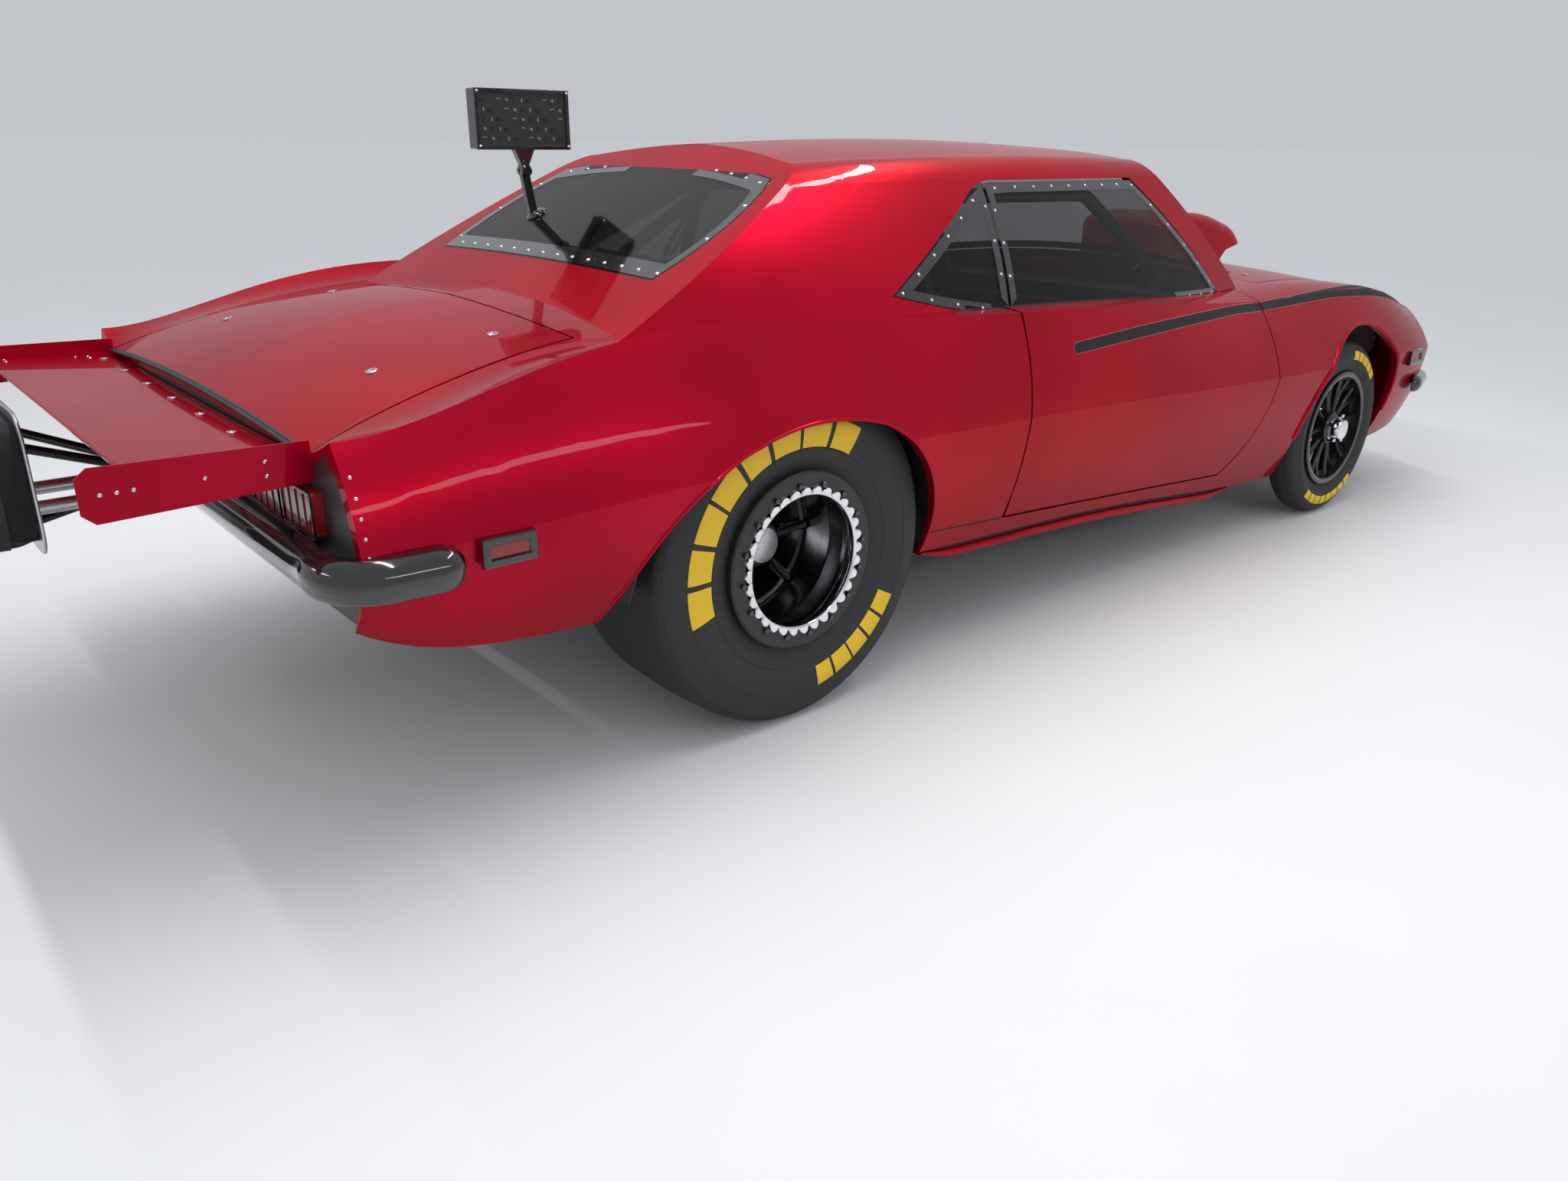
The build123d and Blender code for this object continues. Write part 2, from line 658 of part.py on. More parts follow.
def side_glass(front, inset):
    """A side view outline of all that lies behind or before the leaning line."""
    low = (AXLE_X + POST_LOW_X + inset, 860)
    high = (AXLE_X + POST_HIGH_X + inset, 1300)
    Line(low, high)
    Line(high, (AXLE_X + front, 1300))
    Line((AXLE_X + front, 1300), (AXLE_X + front, 860))
    Line((AXLE_X + front, 860), low)


with BuildPart() as quarter_windows:
    add(pane(side_prism(lambda: window_outline(-SEAT_GAP), near=300)))
    add(side_prism(lambda: side_glass(200, -GAP / 2), near=300), mode=Mode.INTERSECT)
    mirror(about=Plane.XZ)
save(quarter_windows.part, "quarter_windows")
with BuildPart() as door_window:
    add(pane(side_prism(lambda: window_outline(-GAP), near=300)))
    add(side_prism(lambda: side_glass(2200, GAP / 2), near=300), mode=Mode.INTERSECT)
save(door_window.part, "door_window_left")
save(mirror(door_window.part, about=Plane.XZ), "door_window_right")

# Spoiler: a flat tray behind the deck lid between two side plates
TRAY_FRONT = -1046.0
TRAY_REAR = -1330.0
TRAY_HALF = 692.0
TRAY_WALL = 4.0
PLATE_REAR = -1412.0
with BuildPart() as spoiler:
    with BuildSketch(Plane.XZ.offset(-TRAY_HALF)):
        with BuildLine():
            tray = Polyline(
                (AXLE_X + TRAY_FRONT, 762),
                (AXLE_X + TRAY_FRONT, 796),
                (AXLE_X + TRAY_REAR, 812),
                (AXLE_X + TRAY_REAR - 12, 830),
            )
            offset(amount=TRAY_WALL, side=Side.RIGHT)
        make_face()
    extrude(amount=2 * TRAY_HALF)
    for side in (-1, 1):
        with BuildSketch(Plane.XZ.offset(-side * TRAY_HALF)):
            with BuildLine():
                Polyline(
                    (AXLE_X + TAIL - SEAT_GAP, 762),
                    (AXLE_X + TAIL - SEAT_GAP, 838),
                    (AXLE_X + PLATE_REAR + 20, 846),
                    (AXLE_X + PLATE_REAR, 830),
                    (AXLE_X + PLATE_REAR, 770),
                    (AXLE_X + PLATE_REAR + 20, 752),
                    close=True,
                )
            make_face()
        extrude(amount=-side * TRAY_WALL)
save(spoiler.part, "spoiler")

# Parachute pack, its plate and the two tubes that carry it
PACK_Y = 290.0
PACK_HALF = 165.0
PACK_FRONT = -1366.0
PACK_REAR = -1620.0
PACK_LOW_Z = 470.0
PACK_HIGH_Z = 770.0
with BuildPart() as parachute_pack:
    with BuildSketch(Plane.YZ.offset(AXLE_X + PACK_FRONT)):
        with Locations((PACK_Y, (PACK_LOW_Z + PACK_HIGH_Z) / 2)):
            RectangleRounded(2 * PACK_HALF, PACK_HIGH_Z - PACK_LOW_Z, 60)
    extrude(amount=PACK_REAR - PACK_FRONT)
    fillet(parachute_pack.faces().sort_by(Axis.X)[0].edges(), 45)
save(parachute_pack.part, "parachute_pack")
MOUNT_TUBE_Z = 556.0
with BuildPart() as parachute_mount:
    with BuildSketch(Plane.YZ.offset(AXLE_X + PACK_FRONT + SEAT_GAP)):
        with Locations((PACK_Y, (PACK_LOW_Z + PACK_HIGH_Z) / 2)):
            RectangleRounded(2 * PACK_HALF + 16, PACK_HIGH_Z - PACK_LOW_Z + 16, 60)
    extrude(amount=5)
    for y in (PACK_Y - 90, PACK_Y + 90):
        with BuildSketch(Plane.YZ.offset(AXLE_X + PACK_FRONT + 5)):
            with Locations((y, MOUNT_TUBE_Z)):
                Circle(16)
        extrude(amount=TAIL - SEAT_GAP - PACK_FRONT - 5)
save(parachute_mount.part, "parachute_mount")

# Dial board on a swivel behind the rear window, on two arms from the glass
BOARD_Y = 262.0
with BuildPart() as dial_board:
    with BuildSketch(Plane.XZ.offset(-BOARD_Y)):
        with Locations((AXLE_X - 40, 1382)):
            RectangleRounded(284, 152, 6)
    extrude(amount=-34)
    with BuildSketch(Plane.XZ.offset(-BOARD_Y - 8)):
        with BuildLine():
            Polyline(
                (AXLE_X - 66, 1310),
                (AXLE_X - 46, 1268),
                (AXLE_X - 46, 1240),
                (AXLE_X - 22, 1240),
                (AXLE_X - 22, 1268),
                (AXLE_X - 2, 1310),
                close=True,
            )
        make_face()
    extrude(amount=-20)
    with BuildSketch(Plane.XZ.offset(-BOARD_Y - 10)):
        with BuildLine():
            Polyline(
                (AXLE_X - 46, 1244),
                (AXLE_X - 22, 1244),
                (AXLE_X - 2, 1130),
                (AXLE_X - 26, 1130),
                close=True,
            )
        make_face()
    extrude(amount=-16)
    add(cabin_outer, mode=Mode.SUBTRACT)
save(dial_board.part, "dial_board")

# Wheels and tyres
REAR_LOCK_R = 216.0     # beadlock ring
HUB_R = 62.0
BORE_R = 26.0
BORE_PLAY = 0.5
STUD_CIRCLE_R = 60.3
TYRE_PLAY = 0.3


def spin_axis(x, z):
    return Axis((x, 0, z), (0, 1, 0))


def tyre(x, middle_y, radius, width, rim_r, crown):
    """A tyre round its axle: beads, bulged walls and a slightly crowned tread."""
    half = width / 2
    wall_height = radius - rim_r
    profile = [
        (half - 26, rim_r),
        (half - 24, rim_r + 18),
        (half - 5, rim_r + wall_height * 0.34),
        (half, rim_r + wall_height * 0.56),
        (half - 12, rim_r + wall_height * 0.84),
        (half - 34, radius - crown),
    ]
    outer = [(middle_y + y, radius + r) for y, r in profile]
    inner = [(middle_y - y, radius + r) for y, r in reversed(profile)]
    with BuildPart() as ring_part:
        with BuildSketch(Plane.YZ.offset(x)):
            with BuildLine():
                Polyline(*outer, (middle_y, 2 * radius), *inner, close=True)
            make_face()
        revolve(axis=spin_axis(x, radius))
    return ring_part.part


def wheel(x, radius, barrel_in, barrel_out, rim_r, lip_r, disc_y, spokes, spoke_width, hub_out):
    """A wheel for the left side: barrel, lips, spokes and a bored hub."""
    with BuildPart() as rim:
        with BuildSketch(Plane.YZ.offset(x)):
            with BuildLine():
                Polyline(
                    (barrel_in, radius + rim_r - RIM_WALL),
                    (barrel_out, radius + rim_r - RIM_WALL),
                    (barrel_out, radius + lip_r),
                    (barrel_out - 12, radius + lip_r),
                    (barrel_out - 12, radius + rim_r),
                    (barrel_in + 8, radius + rim_r),
                    (barrel_in + 8, radius + rim_r + 12),
                    (barrel_in, radius + rim_r + 12),
                    close=True,
                )
            make_face()
            with BuildLine():
                Polyline(
                    (disc_y - 24, radius),
                    (hub_out, radius),
                    (hub_out, radius + HUB_R - 10),
                    (hub_out - 10, radius + HUB_R),
                    (disc_y - 24, radius + HUB_R),
                    close=True,
                )
            make_face()
        revolve(axis=spin_axis(x, radius))
        with BuildSketch(Plane(origin=(x, disc_y - 9, radius), x_dir=(1, 0, 0), z_dir=(0, 1, 0))):
            Circle(rim_r - RIM_WALL / 2)
            Circle(rim_r - RIM_WALL - 22, mode=Mode.SUBTRACT)
            with PolarLocations((HUB_R + rim_r - RIM_WALL) / 2, spokes):
                Rectangle(rim_r - RIM_WALL - HUB_R + 12, spoke_width)
        extrude(amount=18)
        with BuildSketch(Plane(origin=(x, disc_y - 24, radius), x_dir=(1, 0, 0), z_dir=(0, 1, 0))):
            Circle(BORE_R + BORE_PLAY)
        extrude(amount=40, mode=Mode.SUBTRACT)
    return rim.part


def both_sides(piece, label):
    """Save a left-hand piece and its mirror on the right."""
    save(piece, label + "_left")
    save(mirror(piece, about=Plane.XZ), label + "_right")


REAR_BARREL_IN = REAR_TYRE_Y - REAR_TYRE_WIDTH / 2 + 16
REAR_BARREL_OUT = REAR_TYRE_Y + REAR_TYRE_WIDTH / 2 - 7
REAR_DISC_Y = 640.0
FRONT_BARREL_IN = FRONT_TYRE_Y - FRONT_TYRE_WIDTH / 2 + 16
FRONT_BARREL_OUT = FRONT_TYRE_Y + FRONT_TYRE_WIDTH / 2 - 8
FRONT_DISC_Y = 806.0
both_sides(
    tyre(AXLE_X, REAR_TYRE_Y, REAR_TYRE_R, REAR_TYRE_WIDTH, REAR_RIM_R + TYRE_PLAY, 8), "rear_tyre")
both_sides(
    wheel(AXLE_X, REAR_TYRE_R, REAR_BARREL_IN, REAR_BARREL_OUT, REAR_RIM_R, REAR_LOCK_R, REAR_DISC_Y,
          8, 26, REAR_DISC_Y + 60), "rear_wheel")
both_sides(
    tyre(FRONT_X, FRONT_TYRE_Y, FRONT_TYRE_R, FRONT_TYRE_WIDTH, FRONT_RIM_R + TYRE_PLAY, 5), "front_tyre")
both_sides(
    wheel(FRONT_X, FRONT_TYRE_R, FRONT_BARREL_IN, FRONT_BARREL_OUT, FRONT_RIM_R, FRONT_RIM_R + 10,
          FRONT_DISC_Y, 10, 16, FRONT_DISC_Y + 38), "front_wheel")

# Knuckles: strut tube on the kingpin line, upright and spindle
STRUT_R = 26.0
STRUT_TOP_Z = 690.0
KNUCKLE_LOW_Z = 254.3    # just above the lower arm
with BuildPart() as knuckle:
    with BuildSketch(Plane.XY.offset(KNUCKLE_LOW_Z)):
        with Locations((FRONT_X, KINGPIN_Y)):
            Circle(STRUT_R)
    extrude(amount=STRUT_TOP_Z - KNUCKLE_LOW_Z)
    with BuildSketch(Plane.XZ.offset(-KINGPIN_Y)):
        with Locations((FRONT_X, FRONT_TYRE_R)):
            Circle(BORE_R)
    extrude(amount=-(FRONT_DISC_Y - 12 - KINGPIN_Y))
    with BuildSketch(Plane.XZ.offset(-KINGPIN_Y - 26)):
        with Locations((FRONT_X, FRONT_TYRE_R)):
            Circle(118)
    extrude(amount=-9)
    with BuildSketch(Plane.XY.offset(KNUCKLE_LOW_Z + 10)):
        with Locations((FRONT_X - 60, KINGPIN_Y - 8)):
            Rectangle(130, 30)
    extrude(amount=16)
both_sides(knuckle.part, "knuckle")

# Front crossmember, lower arms and strut towers
RAIL_IN = 372.0
RAIL_OUT = 422.0
RAIL_HEIGHT = 72.0
TOWER_WALL = 8.0
ARM_Z = 236.0
with BuildPart() as front_suspension:
    with BuildSketch(Plane.XY.offset(ARM_Z - 18)):
        with BuildLine():
            Polyline(
                (FRONT_X - 40, 0),
                (FRONT_X - 40, 330),
                (FRONT_X - 150, 330),
                (FRONT_X - 150, 372),
                (FRONT_X - 22, KINGPIN_Y + 16),
                (FRONT_X + 22, KINGPIN_Y + 16),
                (FRONT_X + 60, 372),
                (FRONT_X + 60, 0),
                close=True,
            )
        make_face()
        with Locations((FRONT_X - 30, 440)):
            Circle(46, mode=Mode.SUBTRACT)
    extrude(amount=36)
    with BuildSketch(Plane.XY.offset(STRUT_TOP_Z + SEAT_GAP)):
        with Locations((FRONT_X, (RAIL_OUT + KINGPIN_Y + 50) / 2)):
            Rectangle(150, KINGPIN_Y + 50 - RAIL_OUT - 2 * SEAT_GAP)
    extrude(amount=TOWER_WALL)
    with BuildSketch(Plane.XY.offset(ARM_Z)):
        with Locations((FRONT_X, RAIL_OUT + SEAT_GAP + TOWER_WALL / 2)):
            Rectangle(150, TOWER_WALL)
    extrude(amount=STRUT_TOP_Z + TOWER_WALL - ARM_Z)
    mirror(about=Plane.XZ)
save(front_suspension.part, "front_suspension")

# Floor: a thin pan that drops towards the front, with a tunnel, a bulkhead and a shelf
FLOOR_REAR = (480, 332)
FLOOR_FRONT = (2234, 233)
FLOOR_WALL = 4.0
FLOOR_HALF = 772.0
TUB_IN = 446.0
TUB_R = 468.0


def floor_z(x):
    """Height of the floor's upper face at a place counted from the rear axle."""
    slope = (FLOOR_FRONT[1] - FLOOR_REAR[1]) / (FLOOR_FRONT[0] - FLOOR_REAR[0])
    return FLOOR_REAR[1] + slope * (x - FLOOR_REAR[0])


CAGE_R = 20.5
CAGE_BEND = 90.0
strut_route = [(AXLE_X + 700, 436, 1180), (AXLE_X - 240, 398, 652)]
with BuildPart() as floor:
    with BuildSketch(Plane.XZ.offset(-FLOOR_HALF)):
        with BuildLine():
            Polyline(
                (AXLE_X + FLOOR_REAR[0], FLOOR_REAR[1]),
                (AXLE_X + FLOOR_FRONT[0], FLOOR_FRONT[1]),
                (AXLE_X + FLOOR_FRONT[0], FLOOR_FRONT[1] - FLOOR_WALL),
                (AXLE_X + FLOOR_REAR[0], FLOOR_REAR[1] - FLOOR_WALL),
                close=True,
            )
        make_face()
    extrude(amount=2 * FLOOR_HALF)
    with BuildSketch(Plane.YZ.offset(AXLE_X + FLOOR_REAR[0])):
        with Locations((0, SHAFT_Z)):
            Circle(TUNNEL_R + FLOOR_WALL)
    extrude(amount=FLOOR_FRONT[0] - FLOOR_REAR[0])
    with BuildSketch(Plane.XZ.offset(-TUNNEL_R * 2)):
        with BuildLine():
            Polyline(
                (AXLE_X + FLOOR_REAR[0], FLOOR_REAR[1] - FLOOR_WALL),
                (AXLE_X + FLOOR_FRONT[0], FLOOR_FRONT[1] - FLOOR_WALL),
                (AXLE_X + FLOOR_FRONT[0], 0),
                (AXLE_X + FLOOR_REAR[0], 0),
                close=True,
            )
        make_face()
    extrude(amount=TUNNEL_R * 4, mode=Mode.SUBTRACT)
    with BuildSketch(Plane.XZ.offset(-TUB_IN + SEAT_GAP)):
        with BuildLine():
            Polyline(
                (AXLE_X + 480, FLOOR_REAR[1] - FLOOR_WALL),
                (AXLE_X + 400, 884),
                (AXLE_X - 260, 928),
                (AXLE_X - 260, 932),
                (AXLE_X + 404, 888),
                (AXLE_X + 484, FLOOR_REAR[1]),
                close=True,
            )
        make_face()
    extrude(amount=2 * (TUB_IN - SEAT_GAP))
    with BuildSketch(Plane.YZ.offset(AXLE_X + 380)):
        with Locations((0, SHAFT_Z)):
            Circle(TUNNEL_R)
    extrude(amount=FLOOR_FRONT[0] - 380, mode=Mode.SUBTRACT)
    add(tube(strut_route, CAGE_R + 1), mode=Mode.SUBTRACT)
    add(mirror(tube(strut_route, CAGE_R + 1), about=Plane.XZ), mode=Mode.SUBTRACT)
with BuildPart() as tubs:
    with BuildSketch(Plane.XZ.offset(-TUB_IN)):
        with Locations((AXLE_X, REAR_TYRE_R)):
            Circle(TUB_R)
    extrude(amount=-500)
    with BuildSketch(Plane.XZ.offset(-TUB_IN - FLOOR_WALL)):
        with Locations((AXLE_X, REAR_TYRE_R)):
            Circle(TUB_R - FLOOR_WALL)
    extrude(amount=-500, mode=Mode.SUBTRACT)
    with BuildSketch(Plane.XZ.offset(-TUB_IN)):
        with Locations((AXLE_X, REAR_TYRE_R)):
            Circle(70)
        with Locations((AXLE_X, REAR_TYRE_R - 300)):
            Rectangle(1000, 600)
    extrude(amount=-500, mode=Mode.SUBTRACT)
    add(body_inner, mode=Mode.INTERSECT)
    mirror(about=Plane.XZ)
with BuildPart() as floor_and_tubs:
    add(floor.part)
    add(tubs.part)
save(floor_and_tubs.part, "floor")

# Chassis rails with their cross tubes
TIE_DOWN_R = 10.0
TIE_DOWNS = (-900, 3280)
RAIL_MID = (RAIL_IN + RAIL_OUT) / 2
with BuildPart() as chassis:
    with BuildSketch(Plane.XZ.offset(-RAIL_IN)):
        with BuildLine():
            top = [(-985, 596), (-780, 596), (-330, 640), (210, 640),
                   (FLOOR_REAR[0], FLOOR_REAR[1] - FLOOR_WALL - SEAT_GAP),
                   (FLOOR_FRONT[0], FLOOR_FRONT[1] - FLOOR_WALL - SEAT_GAP), (2420, 326.3), (3400, 326.3)]
            low = [(3400, 326.3 - RAIL_HEIGHT), (2440, 326.3 - RAIL_HEIGHT),
                   (FLOOR_FRONT[0] + 20, FLOOR_FRONT[1] - RAIL_HEIGHT),
                   (FLOOR_REAR[0] + 10, FLOOR_REAR[1] - RAIL_HEIGHT), (180, 640 - RAIL_HEIGHT),
                   (-310, 640 - RAIL_HEIGHT), (-780, 596 - RAIL_HEIGHT), (-985, 596 - RAIL_HEIGHT)]
            Polyline(*[(AXLE_X + x, z) for x, z in top + low], close=True)
        make_face()
    extrude(amount=-(RAIL_OUT - RAIL_IN))
    for x, z, half, radius in ((-985, 560, 800, 22), (-330, 604, RAIL_OUT, 20), (3360, 290, RAIL_OUT, 24)):
        with BuildSketch(Plane.XZ):
            with Locations((AXLE_X + x, z)):
                Circle(radius)
        extrude(amount=-half)
    for x, half in ((700, 770), (1500, RAIL_IN + 10), (1960, 770)):
        with BuildSketch(Plane.XZ):
            with Locations((AXLE_X + x, floor_z(x) - 50)):
                Circle(18)
        extrude(amount=-half)
    with BuildSketch():
        with Locations(*[(AXLE_X + x, RAIL_MID) for x in TIE_DOWNS]):
            Circle(TIE_DOWN_R)
    extrude(amount=700, mode=Mode.SUBTRACT)
    mirror(about=Plane.XZ)
save(chassis.part, "chassis")

# Rear axle housing with its brackets and link bars
AXLE_TUBE_R = 42.0
PINION_R = 50.0
PINION_REACH = 190.0
GEARBOX_REAR = 1650.0
shaft_run = Vector(GEARBOX_REAR, 0, SHAFT_Z - REAR_TYRE_R)
with BuildPart() as rear_axle:
    with BuildSketch(Plane.XZ):
        with Locations((AXLE_X, REAR_TYRE_R)):
            Circle(AXLE_TUBE_R)
    extrude(amount=-(REAR_DISC_Y - 40))
    with BuildSketch(Plane.XZ):
        with Locations((AXLE_X, REAR_TYRE_R)):
            Circle(BORE_R)
    extrude(amount=-(REAR_DISC_Y + 10))
    with Locations((AXLE_X, 0, REAR_TYRE_R)):
        Sphere(150, arc_size1=-90, arc_size2=90, arc_size3=360)
    with BuildSketch(Plane(origin=(AXLE_X, 0, REAR_TYRE_R), z_dir=shaft_run)):
        Circle(PINION_R)
    extrude(amount=PINION_REACH)
    split(bisect_by=Plane.XZ, keep=Keep.BOTTOM)
    with BuildSketch(Plane.XZ.offset(-330)):
        with BuildLine():
            Polyline(
                (AXLE_X - 60, 300), (AXLE_X + 60, 300), (AXLE_X + 80, 520), (AXLE_X - 80, 520), close=True)
        make_face()
    extrude(amount=-8)
    for low, high in (((20, 320), (640, 300)), ((30, 500), (430, 436))):
        with BuildSketch(Plane.XZ.offset(-338)):
            with BuildLine():
                Line((AXLE_X + low[0], low[1]), (AXLE_X + high[0], high[1]))
            trace(line_width=26)
        extrude(amount=-(RAIL_IN - SEAT_GAP - 338))
    mirror(about=Plane.XZ)
save(rear_axle.part, "rear_axle")

# Engine as one block on two mounts, gearbox and propeller shaft
SHAFT_R = 42.0
with BuildPart() as engine:
    with BuildSketch(Plane.YZ.offset(AXLE_X + 2336)):
        with BuildLine():
            Polyline((0, 262), (170, 262), (190, 420), (330, 660), (300, 790), (0, 820), (-300, 790),
                     (-330, 660), (-190, 420), (-170, 262), close=True)
        make_face()
    extrude(amount=600)
    with BuildSketch(Plane.YZ.offset(AXLE_X + 2560)):
        with Locations((0, 300)):
            Rectangle(2 * (RAIL_IN - SEAT_GAP), 40)
    extrude(amount=90)
    with BuildSketch(Plane.YZ.offset(AXLE_X + GEARBOX_REAR)):
        with Locations((0, SHAFT_Z)):
            Circle(105)
    extrude(amount=2340 - GEARBOX_REAR)
    shaft_plane = Plane(origin=(AXLE_X, 0, REAR_TYRE_R), z_dir=shaft_run)
    with BuildSketch(shaft_plane.offset(PINION_REACH + SEAT_GAP)):
        Circle(SHAFT_R)
    extrude(amount=shaft_run.length - PINION_REACH + 10)
save(engine.part, "engine")

# Roll cage
DASH_BAR_X = 1930.0
with BuildPart() as roll_cage:
    hoop = [(700, 640, 280), (700, 640, 700), (716, 470, 1204), (716, 0, 1226)]
    side_bar = [(716, 466, 1200), (1480, 494, 1190), (1880, 624, 850), (1990, 690, 560), (1990, 690, 200)]
    upper_door_bar = [(700, 640, 620), (1986, 690, 540)]
    seat_bar = [(704, 620, 780), (704, 0, 780)]
    dash_bar = [(DASH_BAR_X, 640, 780), (DASH_BAR_X, 0, 780)]
    for points, bend in ((hoop, CAGE_BEND), (side_bar, CAGE_BEND), (upper_door_bar, 0), (seat_bar, 0),
                         (dash_bar, 0)):
        add(tube([(AXLE_X + x, y, z) for x, y, z in points], CAGE_R, bend))
    add(tube(strut_route, CAGE_R))
    add(chassis.part, mode=Mode.SUBTRACT)
    with BuildSketch(Plane.XZ.offset(-1000)):
        with BuildLine():
            Polyline(
                (AXLE_X + FLOOR_REAR[0], FLOOR_REAR[1] + SEAT_GAP),
                (AXLE_X + FLOOR_FRONT[0], FLOOR_FRONT[1] + SEAT_GAP),
                (AXLE_X + FLOOR_FRONT[0], 0),
                (AXLE_X + FLOOR_REAR[0], 0),
                close=True,
            )
        make_face()
    extrude(amount=2000, mode=Mode.SUBTRACT)
    with Locations((AXLE_X + 1300, -500, 700)):
        Box(4000, 1000, 1600, mode=Mode.SUBTRACT)
    mirror(about=Plane.XZ)
save(roll_cage.part, "roll_cage")

# Driver's seat
SEAT_Y = 355.0
with BuildPart() as seat:
    with BuildSketch(Plane.XZ.offset(-SEAT_Y + 215)):
        with BuildLine():
            Polyline(
                (AXLE_X + 930, 250), (AXLE_X + 1420, 250), (AXLE_X + 1440, 480), (AXLE_X + 1400, 500),
                (AXLE_X + 1030, 430), (AXLE_X + 880, 1010), (AXLE_X + 830, 1020), (AXLE_X + 800, 980),
                close=True,
            )
        make_face()
    extrude(amount=-430)
    fillet(seat.edges().filter_by(Axis.Y), 12)
    with BuildSketch(Plane.XZ.offset(-1000)):
        with BuildLine():
            Polyline(
                (AXLE_X + FLOOR_REAR[0], FLOOR_REAR[1] + SEAT_GAP),
                (AXLE_X + FLOOR_FRONT[0], FLOOR_FRONT[1] + SEAT_GAP),
                (AXLE_X + FLOOR_FRONT[0], 0),
                (AXLE_X + FLOOR_REAR[0], 0),
                close=True,
            )
        make_face()
    extrude(amount=2000, mode=Mode.SUBTRACT)
save(seat.part, "seat")

# Dashboard and steering column
COLUMN_LOW = (1972, 692)
COLUMN_HIGH = (1640, 815)
dash_x = AXLE_X + DASH_BAR_X + CAGE_R + SEAT_GAP
with BuildPart() as dashboard:
    with BuildSketch(Plane.XZ.offset(-590)):
        with BuildLine():
            Polyline(
                (dash_x, 690), (dash_x, 850), (dash_x + 120, 862), (dash_x + 120, 850),
                (dash_x + 30, 835), (dash_x + 25, 690), close=True)
        make_face()
    extrude(amount=1180)
    column = Vector(COLUMN_HIGH[0] - COLUMN_LOW[0], 0, COLUMN_HIGH[1] - COLUMN_LOW[1])
    with BuildSketch(Plane(origin=(AXLE_X + COLUMN_LOW[0], SEAT_Y, COLUMN_LOW[1]), z_dir=column)):
        Circle(20)
    extrude(amount=column.length)
save(dashboard.part, "dashboard")
with BuildPart() as steering_wheel:
    plane = Plane(origin=(AXLE_X + COLUMN_HIGH[0] - 1, SEAT_Y, COLUMN_HIGH[1]), z_dir=column)
    with BuildSketch(plane):
        Circle(36)
    extrude(amount=30)
    with BuildSketch(plane.offset(10)):
        with PolarLocations(90, 3, start_angle=60):
            Rectangle(160, 24)
    extrude(amount=5)
    with BuildSketch(Plane(origin=plane.origin + plane.z_dir * 12, x_dir=plane.x_dir, z_dir=plane.y_dir)):
        with Locations((170, 0)):
            Circle(14)
    revolve(axis=Axis(plane.origin, plane.z_dir))
save(steering_wheel.part, "steering_wheel")

# Round mirror clamped to the cage's right side bar
MIRROR_AT = (1800.0, -575.0, 925.0)
with BuildPart() as inside_mirror:
    glass_at = (AXLE_X + MIRROR_AT[0], MIRROR_AT[1] + 40, MIRROR_AT[2])
    with BuildSketch(Plane(origin=glass_at, z_dir=(-1, 0.35, 0))):
        Ellipse(52, 40)
    extrude(amount=16)
    fillet(inside_mirror.edges(), 5)
    with BuildSketch(Plane.XZ.offset(-MIRROR_AT[1] - 40)):
        with Locations((AXLE_X + MIRROR_AT[0] - 4, MIRROR_AT[2])):
            Circle(7)
    extrude(amount=60)
    add(roll_cage.part, mode=Mode.SUBTRACT)
save(inside_mirror.part, "inside_mirror")
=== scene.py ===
import json
import math

import bmesh
import bpy
from mathutils import Matrix, Vector
from mathutils.bvhtree import BVHTree

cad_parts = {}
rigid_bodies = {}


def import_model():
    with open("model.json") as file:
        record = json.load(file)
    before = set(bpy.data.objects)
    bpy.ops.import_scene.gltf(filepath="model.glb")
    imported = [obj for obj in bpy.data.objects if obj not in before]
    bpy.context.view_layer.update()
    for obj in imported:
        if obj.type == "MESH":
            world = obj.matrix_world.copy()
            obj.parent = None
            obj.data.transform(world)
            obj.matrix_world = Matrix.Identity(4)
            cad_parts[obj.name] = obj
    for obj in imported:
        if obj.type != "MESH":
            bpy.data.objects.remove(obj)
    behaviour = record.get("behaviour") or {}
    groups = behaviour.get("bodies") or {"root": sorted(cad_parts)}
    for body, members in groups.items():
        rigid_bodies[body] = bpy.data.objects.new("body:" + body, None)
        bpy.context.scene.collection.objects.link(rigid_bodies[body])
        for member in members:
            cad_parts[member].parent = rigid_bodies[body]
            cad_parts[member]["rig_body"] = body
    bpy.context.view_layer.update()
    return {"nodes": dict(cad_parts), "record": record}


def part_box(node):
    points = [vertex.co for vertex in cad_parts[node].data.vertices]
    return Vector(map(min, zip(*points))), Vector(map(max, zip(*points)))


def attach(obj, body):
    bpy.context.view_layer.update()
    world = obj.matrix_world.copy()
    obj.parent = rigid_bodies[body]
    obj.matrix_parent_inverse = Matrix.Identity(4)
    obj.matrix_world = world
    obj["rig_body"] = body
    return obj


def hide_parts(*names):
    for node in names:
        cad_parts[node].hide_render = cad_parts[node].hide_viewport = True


# A late 1960s pony-car coupe built for drag racing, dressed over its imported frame.
# Metres. X points forward, Y to the driver's left, Z up, with the ground at Z = 0.

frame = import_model()
nodes = frame["nodes"]

# Driving places, read from the frame
AXLE = (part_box("rear_tyre_left")[0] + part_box("rear_tyre_left")[1]) / 2
FRONT = (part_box("front_tyre_left")[0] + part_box("front_tyre_left")[1]) / 2
AXLE_X = AXLE.x


# Small helpers

def link(obj):
    bpy.context.scene.collection.objects.link(obj)
    return obj


def sock(node, name, value):
    node.inputs[name].default_value = value


# Materials

